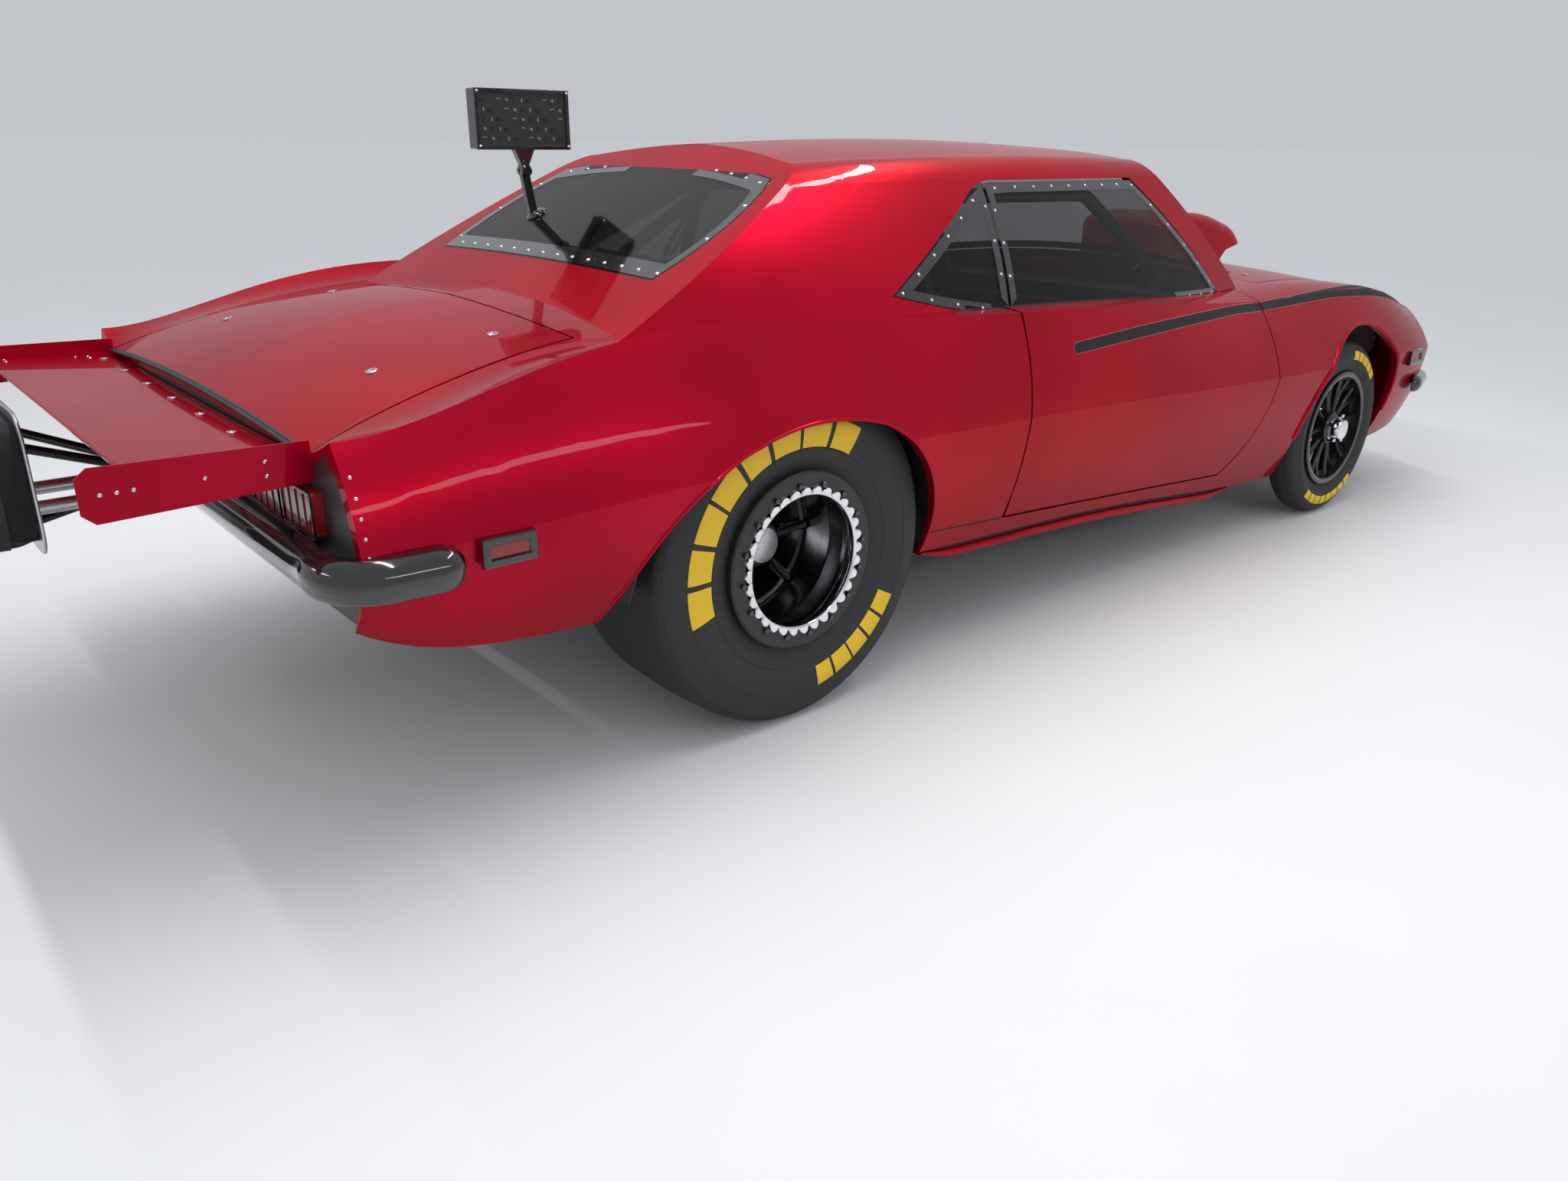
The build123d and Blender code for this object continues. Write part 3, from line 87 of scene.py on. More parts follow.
def new_material(name):
    mat = bpy.data.materials.new(name)
    mat.use_nodes = True
    tree = mat.node_tree
    bsdf = tree.nodes["Principled BSDF"]
    return mat, tree, bsdf


def noise(tree, scale, detail=4.0, roughness=0.5, stretch=None):
    """A noise texture in object coordinates, stretched along the axes if asked."""
    coords = tree.nodes.new("ShaderNodeTexCoord")
    mapping = tree.nodes.new("ShaderNodeMapping")
    if stretch:
        mapping.inputs["Scale"].default_value = stretch
    tex = tree.nodes.new("ShaderNodeTexNoise")
    sock(tex, "Scale", scale)
    sock(tex, "Detail", detail)
    sock(tex, "Roughness", roughness)
    tree.links.new(coords.outputs["Object"], mapping.inputs["Vector"])
    tree.links.new(mapping.outputs["Vector"], tex.inputs["Vector"])
    return tex


def ramp(tree, source, stops):
    node = tree.nodes.new("ShaderNodeValToRGB")
    while len(node.color_ramp.elements) < len(stops):
        node.color_ramp.elements.new(0.5)
    for element, (place, color) in zip(node.color_ramp.elements, stops):
        element.position = place
        element.color = (*color, 1)
    tree.links.new(source, node.inputs["Fac"])
    return node


def spread(tree, source, low, high):
    node = tree.nodes.new("ShaderNodeMapRange")
    sock(node, "To Min", low)
    sock(node, "To Max", high)
    tree.links.new(source, node.inputs["Value"])
    return node.outputs["Result"]


def bump(tree, bsdf, source, strength, distance):
    node = tree.nodes.new("ShaderNodeBump")
    sock(node, "Strength", strength)
    sock(node, "Distance", distance)
    tree.links.new(source, node.inputs["Height"])
    tree.links.new(node.outputs["Normal"], bsdf.inputs["Normal"])


def candy_paint():
    """Deep candy red with fine flake and a slow change of tone, under a clear coat."""
    mat, tree, bsdf = new_material("candy_red")
    flake = noise(tree, 900.0, 2.0, 0.6)
    cloud = noise(tree, 2.2, 3.0, 0.5)
    mix = tree.nodes.new("ShaderNodeMath")
    mix.operation = "MULTIPLY_ADD"
    mix.inputs[1].default_value = 0.35
    tree.links.new(flake.outputs["Fac"], mix.inputs[0])
    tree.links.new(cloud.outputs["Fac"], mix.inputs[2])
    color = ramp(tree, mix.outputs[0], [(0.35, (0.31, 0.0, 0.013)), (0.95, (0.50, 0.0, 0.022))])
    tree.links.new(color.outputs["Color"], bsdf.inputs["Base Color"])
    sock(bsdf, "Metallic", 0.65)
    sock(bsdf, "Specular IOR Level", 0.1)
    sock(bsdf, "Specular Tint", (0.5, 0.02, 0.05, 1))
    tree.links.new(spread(tree, flake.outputs["Fac"], 0.26, 0.36), bsdf.inputs["Roughness"])
    sock(bsdf, "Coat Weight", 0.5)
    sock(bsdf, "Coat Roughness", 0.02)
    sock(bsdf, "Coat IOR", 1.3)
    return mat


def plain(name, color, rough, metallic=0.0, grain=180.0, vary=0.25, depth=0.0, coat=0.0, spec=None,
          stretch=None):
    """A finish with some grain in its colour and roughness."""
    mat, tree, bsdf = new_material(name)
    tex = noise(tree, grain, 5.0, 0.55, stretch)
    low = tuple(c * (1 - vary) for c in color)
    high = tuple(min(1.0, c * (1 + vary)) for c in color)
    tone = ramp(tree, tex.outputs["Fac"], [(0.3, low), (0.7, high)])
    tree.links.new(tone.outputs["Color"], bsdf.inputs["Base Color"])
    tree.links.new(spread(tree, tex.outputs["Fac"], rough * 0.85, min(1.0, rough * 1.15)),
                   bsdf.inputs["Roughness"])
    sock(bsdf, "Metallic", metallic)
    if coat:
        sock(bsdf, "Coat Weight", coat)
        sock(bsdf, "Coat Roughness", 0.03)
    if spec is not None:
        sock(bsdf, "Specular IOR Level", spec)
    if depth:
        bump(tree, bsdf, tex.outputs["Fac"], 0.5, depth)
    return mat


def glass(name, tint, rough, alpha):
    """Thin tinted plastic sheet whose gloss changes a little."""
    mat, tree, bsdf = new_material(name)
    tex = noise(tree, 3.0, 2.0, 0.5, (1.0, 1.0, 0.2))
    tree.links.new(spread(tree, tex.outputs["Fac"], rough, rough * 1.6), bsdf.inputs["Roughness"])
    sock(bsdf, "Base Color", (*tint, 1))
    sock(bsdf, "Alpha", alpha)
    sock(bsdf, "IOR", 1.4)
    return mat


PAINT = candy_paint()
BLACK_SATIN = plain("black_satin", (0.018, 0.018, 0.019), 0.42, grain=240)
BLACK_GLOSS = plain("black_gloss", (0.006, 0.006, 0.007), 0.12, grain=30, coat=1.0)
MATTE_BLACK = plain("matte_black", (0.012, 0.012, 0.013), 0.62, grain=90, spec=0.3)
RUBBER = plain("tyre_rubber", (0.022, 0.022, 0.023), 0.66, grain=260, vary=0.3, depth=0.0006)
SEAL = plain("seal_rubber", (0.012, 0.012, 0.012), 0.5, grain=300)
YELLOW = plain("tyre_yellow", (0.82, 0.52, 0.02), 0.55, grain=420, vary=0.12, depth=0.0004)
POLISHED = plain("polished_alloy", (0.78, 0.78, 0.80), 0.09, 1.0, grain=70, vary=0.05)
CHROME = plain("chrome", (0.88, 0.88, 0.90), 0.05, 1.0, grain=40, vary=0.02)
BARE = plain("bare_alloy", (0.55, 0.56, 0.58), 0.34, 1.0, grain=120, vary=0.12)
STEEL = plain("screw_steel", (0.62, 0.62, 0.63), 0.26, 1.0, grain=400, vary=0.1)
WHEEL_BLACK = plain("wheel_black", (0.014, 0.014, 0.015), 0.22, 0.2, grain=90, coat=0.6)
BARREL = plain("barrel_metal", (0.42, 0.42, 0.44), 0.20, 1.0, grain=60, vary=0.2)
TUBE_BLACK = plain("tube_black", (0.012, 0.012, 0.013), 0.28, grain=50, coat=0.4)
CLOTH = plain("black_cloth", (0.016, 0.016, 0.018), 0.85, grain=420, vary=0.45, depth=0.001)
FLOOR_METAL = plain("floor_paint", (0.03, 0.03, 0.032), 0.5, 0.3, grain=30)
RED_LENS = plain("red_lens", (0.26, 0.003, 0.006), 0.18, grain=60, vary=0.15, coat=0.5)
CLEAR_LENS = plain("clear_lens", (0.6, 0.62, 0.65), 0.08, 0.6, grain=50, coat=1.0)
ENGINE_GREY = plain("engine_grey", (0.09, 0.09, 0.095), 0.45, 0.6, grain=40)
GLASS = glass("tinted_plastic", (0.006, 0.007, 0.008), 0.03, 0.42)
BACK_GLASS = glass("dark_plastic", (0.004, 0.0045, 0.005), 0.04, 0.70)

BRIGHT_RED = plain("line_red", (0.42, 0.004, 0.012), 0.3, grain=200, coat=1.0)
CIRCUIT = plain("circuit_board", (0.035, 0.036, 0.034), 0.4, grain=700, vary=0.6)
BOARD_PARTS = plain("board_parts", (0.42, 0.30, 0.22), 0.45, 0.2, grain=500, vary=0.5)
COVER = glass("clear_cover", (0.02, 0.021, 0.022), 0.02, 0.15)
WEBBING = plain("black_webbing", (0.03, 0.03, 0.033), 0.7, grain=900, vary=0.5, depth=0.0008)
BELT_CLOTH = plain("belt_cloth", (0.02, 0.02, 0.022), 0.75, grain=900, vary=0.4, depth=0.0008)

FINISH = {
    "body_paint": PAINT,
    "black_trim": BLACK_SATIN,
    "black_gloss": BLACK_GLOSS,
    "lamp_glass": CLEAR_LENS,
    "red_lens": RED_LENS,
    "window_plastic": GLASS,
    "pack_fabric": CLOTH,
    "bare_metal": BARE,
    "tyre_rubber": RUBBER,
    "rear_wheel_metal": WHEEL_BLACK,
    "front_wheel_metal": WHEEL_BLACK,
    "frame_black": TUBE_BLACK,
    "floor_metal": FLOOR_METAL,
    "engine_metal": ENGINE_GREY,
    "seat_cloth": CLOTH,
    "wheel_rim": BLACK_SATIN,
    "mirror_metal": CHROME,
}
for part in frame["record"]["subparts"]:
    data = nodes[part["node"]].data
    data.materials.clear()
    data.materials.append(FINISH[part["material_slot"]])
nodes["rear_window"].data.materials[0] = BACK_GLASS
nodes["tail_panel"].data.materials[0] = BLACK_SATIN


# Geometry helpers

def at(x, y, z):
    """A point whose x is counted from the rear axle."""
    return Vector((AXLE_X + x, y, z))


class Shape:
    """Vertices and faces collected for one piece."""

    def __init__(self):
        self.verts = []
        self.faces = []

    def grid(self, rows, loop_rows=False, loop_columns=False):
        """Faces between neighbouring rows of points; a point may be None where nothing was hit."""
        width = len(rows[0])
        index = {}
        for i, row in enumerate(rows):
            for j, point in enumerate(row):
                if point is not None:
                    index[i, j] = len(self.verts)
                    self.verts.append(tuple(point))
        for i in range(len(rows) if loop_rows else len(rows) - 1):
            for j in range(width if loop_columns else width - 1):
                corners = [(i, j), (i, (j + 1) % width), ((i + 1) % len(rows), (j + 1) % width),
                           ((i + 1) % len(rows), j)]
                if all(corner in index for corner in corners):
                    self.faces.append(tuple(index[corner] for corner in corners))
        return self

    def cap(self, row):
        start = len(self.verts)
        self.verts.extend(tuple(point) for point in row)
        self.faces.append(tuple(range(start, start + len(row))))
        return self

    def sweep(self, rows):
        """A closed section carried along its rows, with both ends capped."""
        return self.grid(rows, loop_columns=True).cap(rows[0]).cap(rows[-1])

    def tube(self, points, radius, sides=10, loop=False):
        """A round bar along points; radius is one number or one for each point."""
        points = [Vector(point) for point in points]
        count = len(points)
        radii = radius if isinstance(radius, (list, tuple)) else [radius] * count
        rows = []
        side = None
        for i, point in enumerate(points):
            before = points[i - 1] if i or loop else point
            after = points[(i + 1) % count] if i < count - 1 or loop else point
            way = (after - before).normalized()
            if side is None:
                side = way.orthogonal().normalized()
            side = (side - way * side.dot(way)).normalized()
            other = way.cross(side)
            rows.append([point + (side * math.cos(a) + other * math.sin(a)) * radii[i]
                         for a in (2 * math.pi * k / sides for k in range(sides))])
        self.grid(rows, loop_rows=loop, loop_columns=True)
        if not loop:
            self.cap(rows[0])
            self.cap(rows[-1])
        return self

    def turned(self, centre, axis, profile, steps=48, ref=None):
        """A turned form: profile holds (distance along the axis, radius)."""
        centre = Vector(centre)
        axis = Vector(axis).normalized()
        side = (Vector(ref) if ref else axis.orthogonal()).normalized()
        other = axis.cross(side)
        rows = []
        for k in range(steps):
            angle = 2 * math.pi * k / steps
            out = side * math.cos(angle) + other * math.sin(angle)
            rows.append([centre + axis * depth + out * radius for depth, radius in profile])
        return self.grid(rows, loop_rows=True)

    def button(self, place, normal, radius, height, sides=10):
        """A low domed screw head."""
        return self.turned(place, normal, [(-height * 0.3, radius), (height * 0.45, radius),
                                           (height * 0.85, radius * 0.7), (height, radius * 0.02)], sides)

    def block(self, centre, size, turn=None):
        """A box with its own turn."""
        half = Vector(size) / 2
        turn = turn or Matrix.Identity(3)
        start = len(self.verts)
        for x in (-1, 1):
            for y in (-1, 1):
                for z in (-1, 1):
                    corner = turn @ Vector((x * half.x, y * half.y, z * half.z))
                    self.verts.append(tuple(Vector(centre) + corner))
        for face in ((0, 1, 3, 2), (4, 6, 7, 5), (0, 4, 5, 1), (2, 3, 7, 6), (0, 2, 6, 4), (1, 5, 7, 3)):
            self.faces.append(tuple(start + k for k in face))
        return self

    def piece(self, name, material, body, slot, smooth=35, replaces=(), bevel=0.0):
        data = bpy.data.meshes.new(name)
        data.from_pydata(self.verts, [], self.faces)
        data.validate()
        solid = bmesh.new()
        solid.from_mesh(data)
        bmesh.ops.remove_doubles(solid, verts=solid.verts, dist=1e-6)
        bmesh.ops.recalc_face_normals(solid, faces=solid.faces)
        solid.to_mesh(data)
        solid.free()
        data.materials.append(material)
        obj = link(bpy.data.objects.new(name, data))
        if bevel:
            mod = obj.modifiers.new("bevel", "BEVEL")
            mod.width = bevel
            mod.segments = 2
            mod.limit_method = "ANGLE"
        data.polygons.foreach_set("use_smooth", [True] * len(data.polygons))
        data.set_sharp_from_angle(angle=math.radians(smooth))
        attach(obj, body)
        if replaces:
            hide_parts(*replaces)
        return obj


skins = {}


def skin(*names):
    """A tree for casting rays on CAD nodes."""
    if names not in skins:
        verts = []
        faces = []
        for name in names:
            start = len(verts)
            verts.extend(tuple(v.co) for v in nodes[name].data.vertices)
            faces.extend(tuple(start + k for k in p.vertices) for p in nodes[name].data.polygons)
        skins[names] = BVHTree.FromPolygons(verts, faces)
    return skins[names]


def cast(names, start, way, lift=0.0):
    """The point that a ray meets, raised along the normal towards the ray's start, and the normal."""
    way = Vector(way).normalized()
    place, normal, _, _ = skin(*names).ray_cast(Vector(start), way)
    if place is None:
        return None, None
    if normal.dot(way) > 0:
        normal = -normal
    return place + normal * lift, normal


def blend_points(a, b, t):
    return tuple(p + (q - p) * t for p, q in zip(a, b))


def arc_points(a, middle, b, count):
    """Points of the circle arc through three plane points, both ends included."""
    (ax, ay), (mx, my), (bx, by) = a, middle, b
    d = 2 * (ax * (my - by) + mx * (by - ay) + bx * (ay - my))
    ux = ((ax**2 + ay**2) * (my - by) + (mx**2 + my**2) * (by - ay) + (bx**2 + by**2) * (ay - my)) / d
    uy = ((ax**2 + ay**2) * (bx - mx) + (mx**2 + my**2) * (ax - bx) + (bx**2 + by**2) * (mx - ax)) / d
    radius = math.hypot(ax - ux, ay - uy)
    first = math.atan2(ay - uy, ax - ux)
    mid = (math.atan2(my - uy, mx - ux) - first) % (2 * math.pi)
    last = (math.atan2(by - uy, bx - ux) - first) % (2 * math.pi)
    if mid > last:
        last -= 2 * math.pi
    angles = [first + last * k / count for k in range(count + 1)]
    return [(ux + radius * math.cos(angle), uy + radius * math.sin(angle)) for angle in angles]


def inset(corners, distance):
    """A closed plane outline drawn inwards by distance."""
    area = sum(a[0] * b[1] - b[0] * a[1] for a, b in zip(corners, corners[1:] + corners[:1]))
    sign = 1 if area > 0 else -1
    result = []
    count = len(corners)
    for k, corner in enumerate(corners):
        before = Vector(corner) - Vector(corners[k - 1])
        after = Vector(corners[(k + 1) % count]) - Vector(corner)
        before.normalize()
        after.normalize()
        n1 = Vector((-before.y, before.x)) * sign
        n2 = Vector((-after.y, after.x)) * sign
        both = (n1 + n2).normalized()
        result.append(tuple(Vector(corner) + both * distance / max(0.35, both.dot(n1))))
    return result


def along(corners, step):
    """Points a step apart round a closed outline."""
    places = []
    for a, b in zip(corners, corners[1:] + corners[:1]):
        length = math.dist(a, b)
        count = max(1, round(length / step))
        places += [blend_points(a, b, k / count) for k in range(count)]
    return places


def spaced(corners, step):
    """Points at even steps round a closed outline, whatever its corners."""
    fine = along(corners, 0.004)
    total = sum(math.dist(a, b) for a, b in zip(fine, fine[1:] + fine[:1]))
    count = round(total / step)
    gap = total / count
    result = []
    run = 0.0
    for a, b in zip(fine, fine[1:] + fine[:1]):
        if run >= gap * len(result) - 1e-9:
            result.append(a)
        run += math.dist(a, b)
    return result[:count]


def band(shape, names, outline, low, high, project, way, lift, step=0.02):
    """A painted border on a pane, between two insets of its outline."""
    rings = [inset(outline, low + (high - low) * k / 2) for k in range(3)]
    rows = []
    for ring_line in rings:
        row = []
        for a, b in zip(ring_line, ring_line[1:] + ring_line[:1]):
            k = ring_line.index(a)
            count = max(1, math.ceil(math.dist(outline[k], outline[(k + 1) % len(outline)]) / step))
            for i in range(count):
                row.append(cast(names, project(blend_points(a, b, i / count)), way, lift)[0])
        rows.append(row)
    shape.grid(rows, loop_columns=True)


def screws(shape, names, outline, depth, pitch, project, way, radius, height):
    for place in spaced(inset(outline, depth), pitch):
        spot, normal = cast(names, project(place), way)
        if spot is not None:
            shape.button(spot, normal, radius, height)


# Tyres: smooth turned rubber with plain yellow bars on the outer wall

REAR_RADIUS = 0.419
FRONT_RADIUS = 0.330
RIM = 0.2055
# Outer wall: distance inside the tread's half width, and share of the wall's height
WALL = ((0.022, 0.06), (0.020, 0.10), (0.015, 0.15), (0.008, 0.26), (0.003, 0.40), (0.0, 0.55),
        (0.003, 0.68), (0.008, 0.78), (0.013, 0.86), (0.019, 0.91), (0.028, 0.955))
# Columns: wheel, wheel centre x, middle of the tread, half width, radius, crown,
# bar runs as (first degree, last degree, number of blocks, inner radius, outer radius)
TYRES = (
    ("rear", AXLE.x, 0.676, 0.186, REAR_RADIUS, 0.008,
     ((58, 196, 8, 0.272, 0.340), (-82, -27, 5, 0.288, 0.342))),
    ("front", FRONT.x, 0.796, 0.061, FRONT_RADIUS, 0.005,
     ((38, 84, 5, 0.262, 0.294), (-128, -50, 8, 0.262, 0.294))),
)
# How far a bar stands out from the rubber
BAR_LIFT = 0.0011
AXIS = {1: Vector((0, 1, 0)), -1: Vector((0, -1, 0))}
SIDES = ((1, "left"), (-1, "right"))
AHEAD = Vector((1, 0, 0))


def tyre_profile(half, radius, crown):
    """Section from the inner bead round the tread to the outer bead, as (y, radius)."""
    wall = radius - RIM
    outer = [(half - 0.026, RIM + 0.001)]
    outer += [(half - inside, RIM + wall * share) for inside, share in WALL]
    outer.append((half - 0.040, radius - crown * 0.8))
    outer += [((half - 0.046) * k / 6, radius - crown * 0.75 * (k / 6) ** 2) for k in range(5, 0, -1)]
    return [(-y, r) for y, r in outer] + [(0, radius)] + [(y, r) for y, r in reversed(outer)]


def wall_y(profile, half, radius_at):
    """How far out the outer wall stands at a radius."""
    outer = [(y, r) for y, r in profile if y > 0]
    for (y0, r0), (y1, r1) in zip(outer, outer[1:]):
        on_wall = abs(r1 - r0) > 1e-6 and min(y0, y1) > half * 0.4
        if on_wall and min(r0, r1) <= radius_at <= max(r0, r1):
            return y0 + (y1 - y0) * (radius_at - r0) / (r1 - r0)
    return half


for wheel, x, middle, half, radius, crown, runs in TYRES:
    profile = tyre_profile(half, radius, crown)
    for side, word in SIDES:
        body = f"{wheel}_wheel_{word}"
        axis = AXIS[side]
        centre = Vector((x, side * middle, radius))
        rubber = Shape().turned(centre, axis, profile, 120, ref=AHEAD)
        for share in (0.30, 0.62, 0.90):
            r = RIM + (radius - RIM) * share
            y = wall_y(profile, half, r)
            rib = [(y - 0.001, r - 0.002), (y + 0.0012, r), (y - 0.001, r + 0.002)]
            rubber.turned(centre, axis, rib, 96, ref=AHEAD)
        rubber.piece(f"{wheel}_tyre_rubber_{word}", RUBBER, body, "tyre_rubber", 40,
                     replaces=[f"{wheel}_tyre_{word}"])
        bars = Shape()
        up = axis.cross(AHEAD)
        turn = 1 if up.z > 0 else -1
        for first, last, count, bar_low, bar_high in runs:
            pitch = (last - first) / count
            radii = [bar_low + (bar_high - bar_low) * j / 6 for j in range(7)]
            for k in range(count):
                share = 0.90 if k % 3 else 0.82
                a0 = math.radians(first + pitch * (k + (1 - share) / 2)) * turn
                a1 = math.radians(first + pitch * (k + (1 + share) / 2)) * turn
                rows = []
                for i in range(9):
                    angle = a0 + (a1 - a0) * i / 8
                    out = AHEAD * math.cos(angle) + up * math.sin(angle)
                    rows.append([centre + axis * (wall_y(profile, half, r) + BAR_LIFT) + out * r
                                 for r in radii])
                bars.grid(rows)
        bars.piece(f"{wheel}_tyre_bars_{word}", YELLOW, body, "tyre_rubber", 60)

# Wheels. FACE is how far the rear wheel's outer face stands from the car's middle.
FACE = 0.855
CENTRES = {"rear": Vector((AXLE.x, 0, REAR_RADIUS)), "front": Vector((FRONT.x, 0, FRONT_RADIUS))}

# Turned pieces: wheel, name, finish, steps round, smooth angle, section as (distance out, radius)
TURNED = (
    ("rear", "lock_ring", BLACK_SATIN, 120, 30,
     ((FACE - 0.013, 0.176), (FACE + 0.003, 0.176), (FACE + 0.006, 0.178), (FACE + 0.006, 0.213),
      (FACE + 0.002, 0.2175), (FACE - 0.013, 0.2175))),
    ("rear", "barrel", BARREL, 120, 40,
     ((0.652, 0.190), (0.664, 0.1935), (0.70, 0.1945), (0.742, 0.1895), (0.75, 0.1895), (0.76, 0.1945),
      (FACE - 0.055, 0.1950))),
    ("rear", "cap", BARE, 48, 30,
     ((0.698, 0.050), (0.708, 0.049), (0.714, 0.044), (0.717, 0.030), (0.7175, 0.001))),
    ("front", "lip", WHEEL_BLACK, 96, 30,
     ((0.838, 0.196), (0.8485, 0.197), (0.851, 0.202), (0.851, 0.210), (0.848, 0.2155), (0.838, 0.2155))),
    ("front", "cap", CHROME, 48, 30,
     ((0.842, 0.041), (0.872, 0.040), (0.878, 0.037), (0.880, 0.030), (0.8805, 0.001))),
)
# Rings of hexagonal heads: wheel, name, finish, distance out, ring radius, count, head radius,
# head height, first angle
HEADS = (
    ("rear", "lock_bolts", BLACK_GLOSS, FACE + 0.006, 0.1868, 16, 0.0072, 0.0080, math.pi / 32),
    ("rear", "nuts", CHROME, 0.664, 0.084, 5, 0.011, 0.026, 0.3),
    ("front", "nuts", CHROME, 0.842, 0.051, 5, 0.009, 0.026, 0.2),
)
# Spoke ribs: wheel, count, leanings, path as (radius, shift aside, half width, distance out),
# section as (share of the half width, height)
RIBS = (
    ("rear", 8, (1,),
     ((0.058, 0.0, 0.012, 0.668), (0.10, 0.0, 0.010, 0.664), (0.15, 0.0, 0.009, 0.660),
      (0.186, 0.0, 0.013, 0.657)),
     ((-1, -0.012), (-0.8, 0), (-0.3, 0.006), (0.3, 0.006), (0.8, 0), (1, -0.012))),
    ("front", 10, (-1, 1),
     ((0.060, 0.0, 0.006, 0.822), (0.115, 0.004, 0.0055, 0.820), (0.150, 0.013, 0.005, 0.820),
      (0.190, 0.027, 0.0055, 0.826)),
     ((-1, -0.010), (-0.7, 0), (0, 0.003), (0.7, 0), (1, -0.010))),
)
# Polished ring: teeth, points for each, radius between them, their height and their crest
TEETH = 32
TOOTH_STEPS = 8
RING_EDGE = 0.1690
TOOTH_HEIGHT = 0.0155
TOOTH_CREST = 0.004


def hex_ring(centre, axis, ring, count, radius, height, start):
    """Hexagonal heads set round an axis."""
    shape = Shape()
    up = axis.cross(AHEAD)
    head = [(0, radius), (height * 0.8, radius), (height, radius * 0.75), (height, radius * 0.02)]
    for k in range(count):
        angle = start + 2 * math.pi * k / count
        out = AHEAD * math.cos(angle) + up * math.sin(angle)
        shape.turned(centre + out * ring, axis, head, 6, ref=out)
    return shape


def scallop_ring(centre, axis):
    """The polished ring with a scalloped outer edge."""
    rows = []
    for k in range(TEETH * TOOTH_STEPS):
        angle = 2 * math.pi * k / (TEETH * TOOTH_STEPS)
        wave = abs(math.cos(angle * TEETH / 2)) ** 0.8
        edge = RING_EDGE + TOOTH_HEIGHT * wave
        crest = TOOTH_CREST * wave
        out = Vector((math.cos(angle), 0, math.sin(angle)))
        section = ((FACE - 0.060, 0.1880), (FACE - 0.036, 0.1740), (FACE - 0.014, 0.1620), (FACE, 0.1590),
                   (FACE + 0.0070, 0.1595), (FACE + 0.0110, 0.1620), (FACE + 0.0120, 0.1650),
                   (FACE + 0.0095 + crest, edge - 0.0030), (FACE + 0.0075 + crest * 0.6, edge - 0.0008),
                   (FACE + 0.0040, edge), (FACE - 0.002, edge))
        rows.append([centre + axis * y + out * r for y, r in section])
    return Shape().grid(rows, loop_rows=True)


def spoke_ribs(centre, axis, count, leanings, path, section):
    """Raised ribs along the spokes."""
    shape = Shape()
    for k in range(count):
        angle = 2 * math.pi * k / count
        out = Vector((math.cos(angle), 0, math.sin(angle)))
        cross = axis.cross(out)
        for lean in leanings:
            rows = []
            for r, shift, wide, y in path:
                middle = centre + out * r + cross * shift * lean
                rows.append([middle + cross * (wide * c) + axis * (y + d) for c, d in section])
            shape.grid(rows)
    return shape


def wheel_piece(shape, wheel, title, word, finish, smooth):
    shape.piece(f"{wheel}_{title}_{word}", finish, f"{wheel}_wheel_{word}", f"{wheel}_wheel_metal", smooth)


for side, word in SIDES:
    axis = AXIS[side]
    for wheel, title, finish, steps, smooth, section in TURNED:
        ring = Shape().turned(CENTRES[wheel], axis, section, steps)
        wheel_piece(ring, wheel, title, word, finish, smooth)
    for wheel, title, finish, out, *heads in HEADS:
        wheel_piece(hex_ring(CENTRES[wheel] + axis * out, axis, *heads), wheel, title, word, finish, 25)
    wheel_piece(scallop_ring(CENTRES["rear"], axis), "rear", "scallop_ring", word, POLISHED, 40)
    for wheel, *ribs in RIBS:
        wheel_piece(spoke_ribs(CENTRES[wheel], axis, *ribs), wheel, "spoke_ribs", word, WHEEL_BLACK, 50)

# Stripe along door and fender. Columns: x, ray level of the lower and upper edge.
# A ray leans down by STRIPE_SLOPE, and its level is its height where it passes STRIPE_Y.
STRIPE_SLOPE = 0.70
STRIPE_Y = 0.85
STRIPE_END = 0.015
START_OUT = 0.3
STRIPE = ((0.956, 0.780, 0.814), (1.37, 0.805, 0.843), (1.90, 0.843, 0.879), (2.10, 0.844, 0.881),
          (2.30, 0.850, 0.890), (2.60, 0.856, 0.905), (3.00, 0.836, 0.922), (3.30, 0.815, 0.930),
          (3.478, 0.800, 0.930))


def stripe_levels(x):
    for (x0, low0, high0), (x1, low1, high1) in zip(STRIPE, STRIPE[1:]):
        if x0 <= x <= x1:
            t = (x - x0) / (x1 - x0)
            return low0 + (low1 - low0) * t, high0 + (high1 - high0) * t
    return STRIPE[-1][1:] if x > STRIPE[-1][0] else STRIPE[0][1:]


def stripe(node, first, last, side, grow, lift, rounded):
    """Part of the stripe between two places along the car."""
    rows = []
    stations = [first + (last - first) * k / 60 for k in range(61)]
    if rounded:
        end = [first - STRIPE_END - grow + STRIPE_END * (1 - math.cos(math.pi * k / 16)) for k in range(9)]
        stations = end + [s for s in stations if s > first + 0.001]
    for x in stations:
        low, high = stripe_levels(x)
        middle = (low + high) / 2
        half = (high - low) / 2 + grow
        if rounded and x < first:
            reach = (first - x) / (STRIPE_END + grow)
            half *= math.sqrt(max(0.0, 1 - reach * reach))
        row = []
        for j in range(7):
            level = middle + half * (j / 3 - 1)
            start = at(x, side * (STRIPE_Y + START_OUT), level + START_OUT * STRIPE_SLOPE)
            row.append(cast([node], start, (0, -side, -STRIPE_SLOPE), lift)[0])
        rows.append(row)
    return Shape().grid(rows)


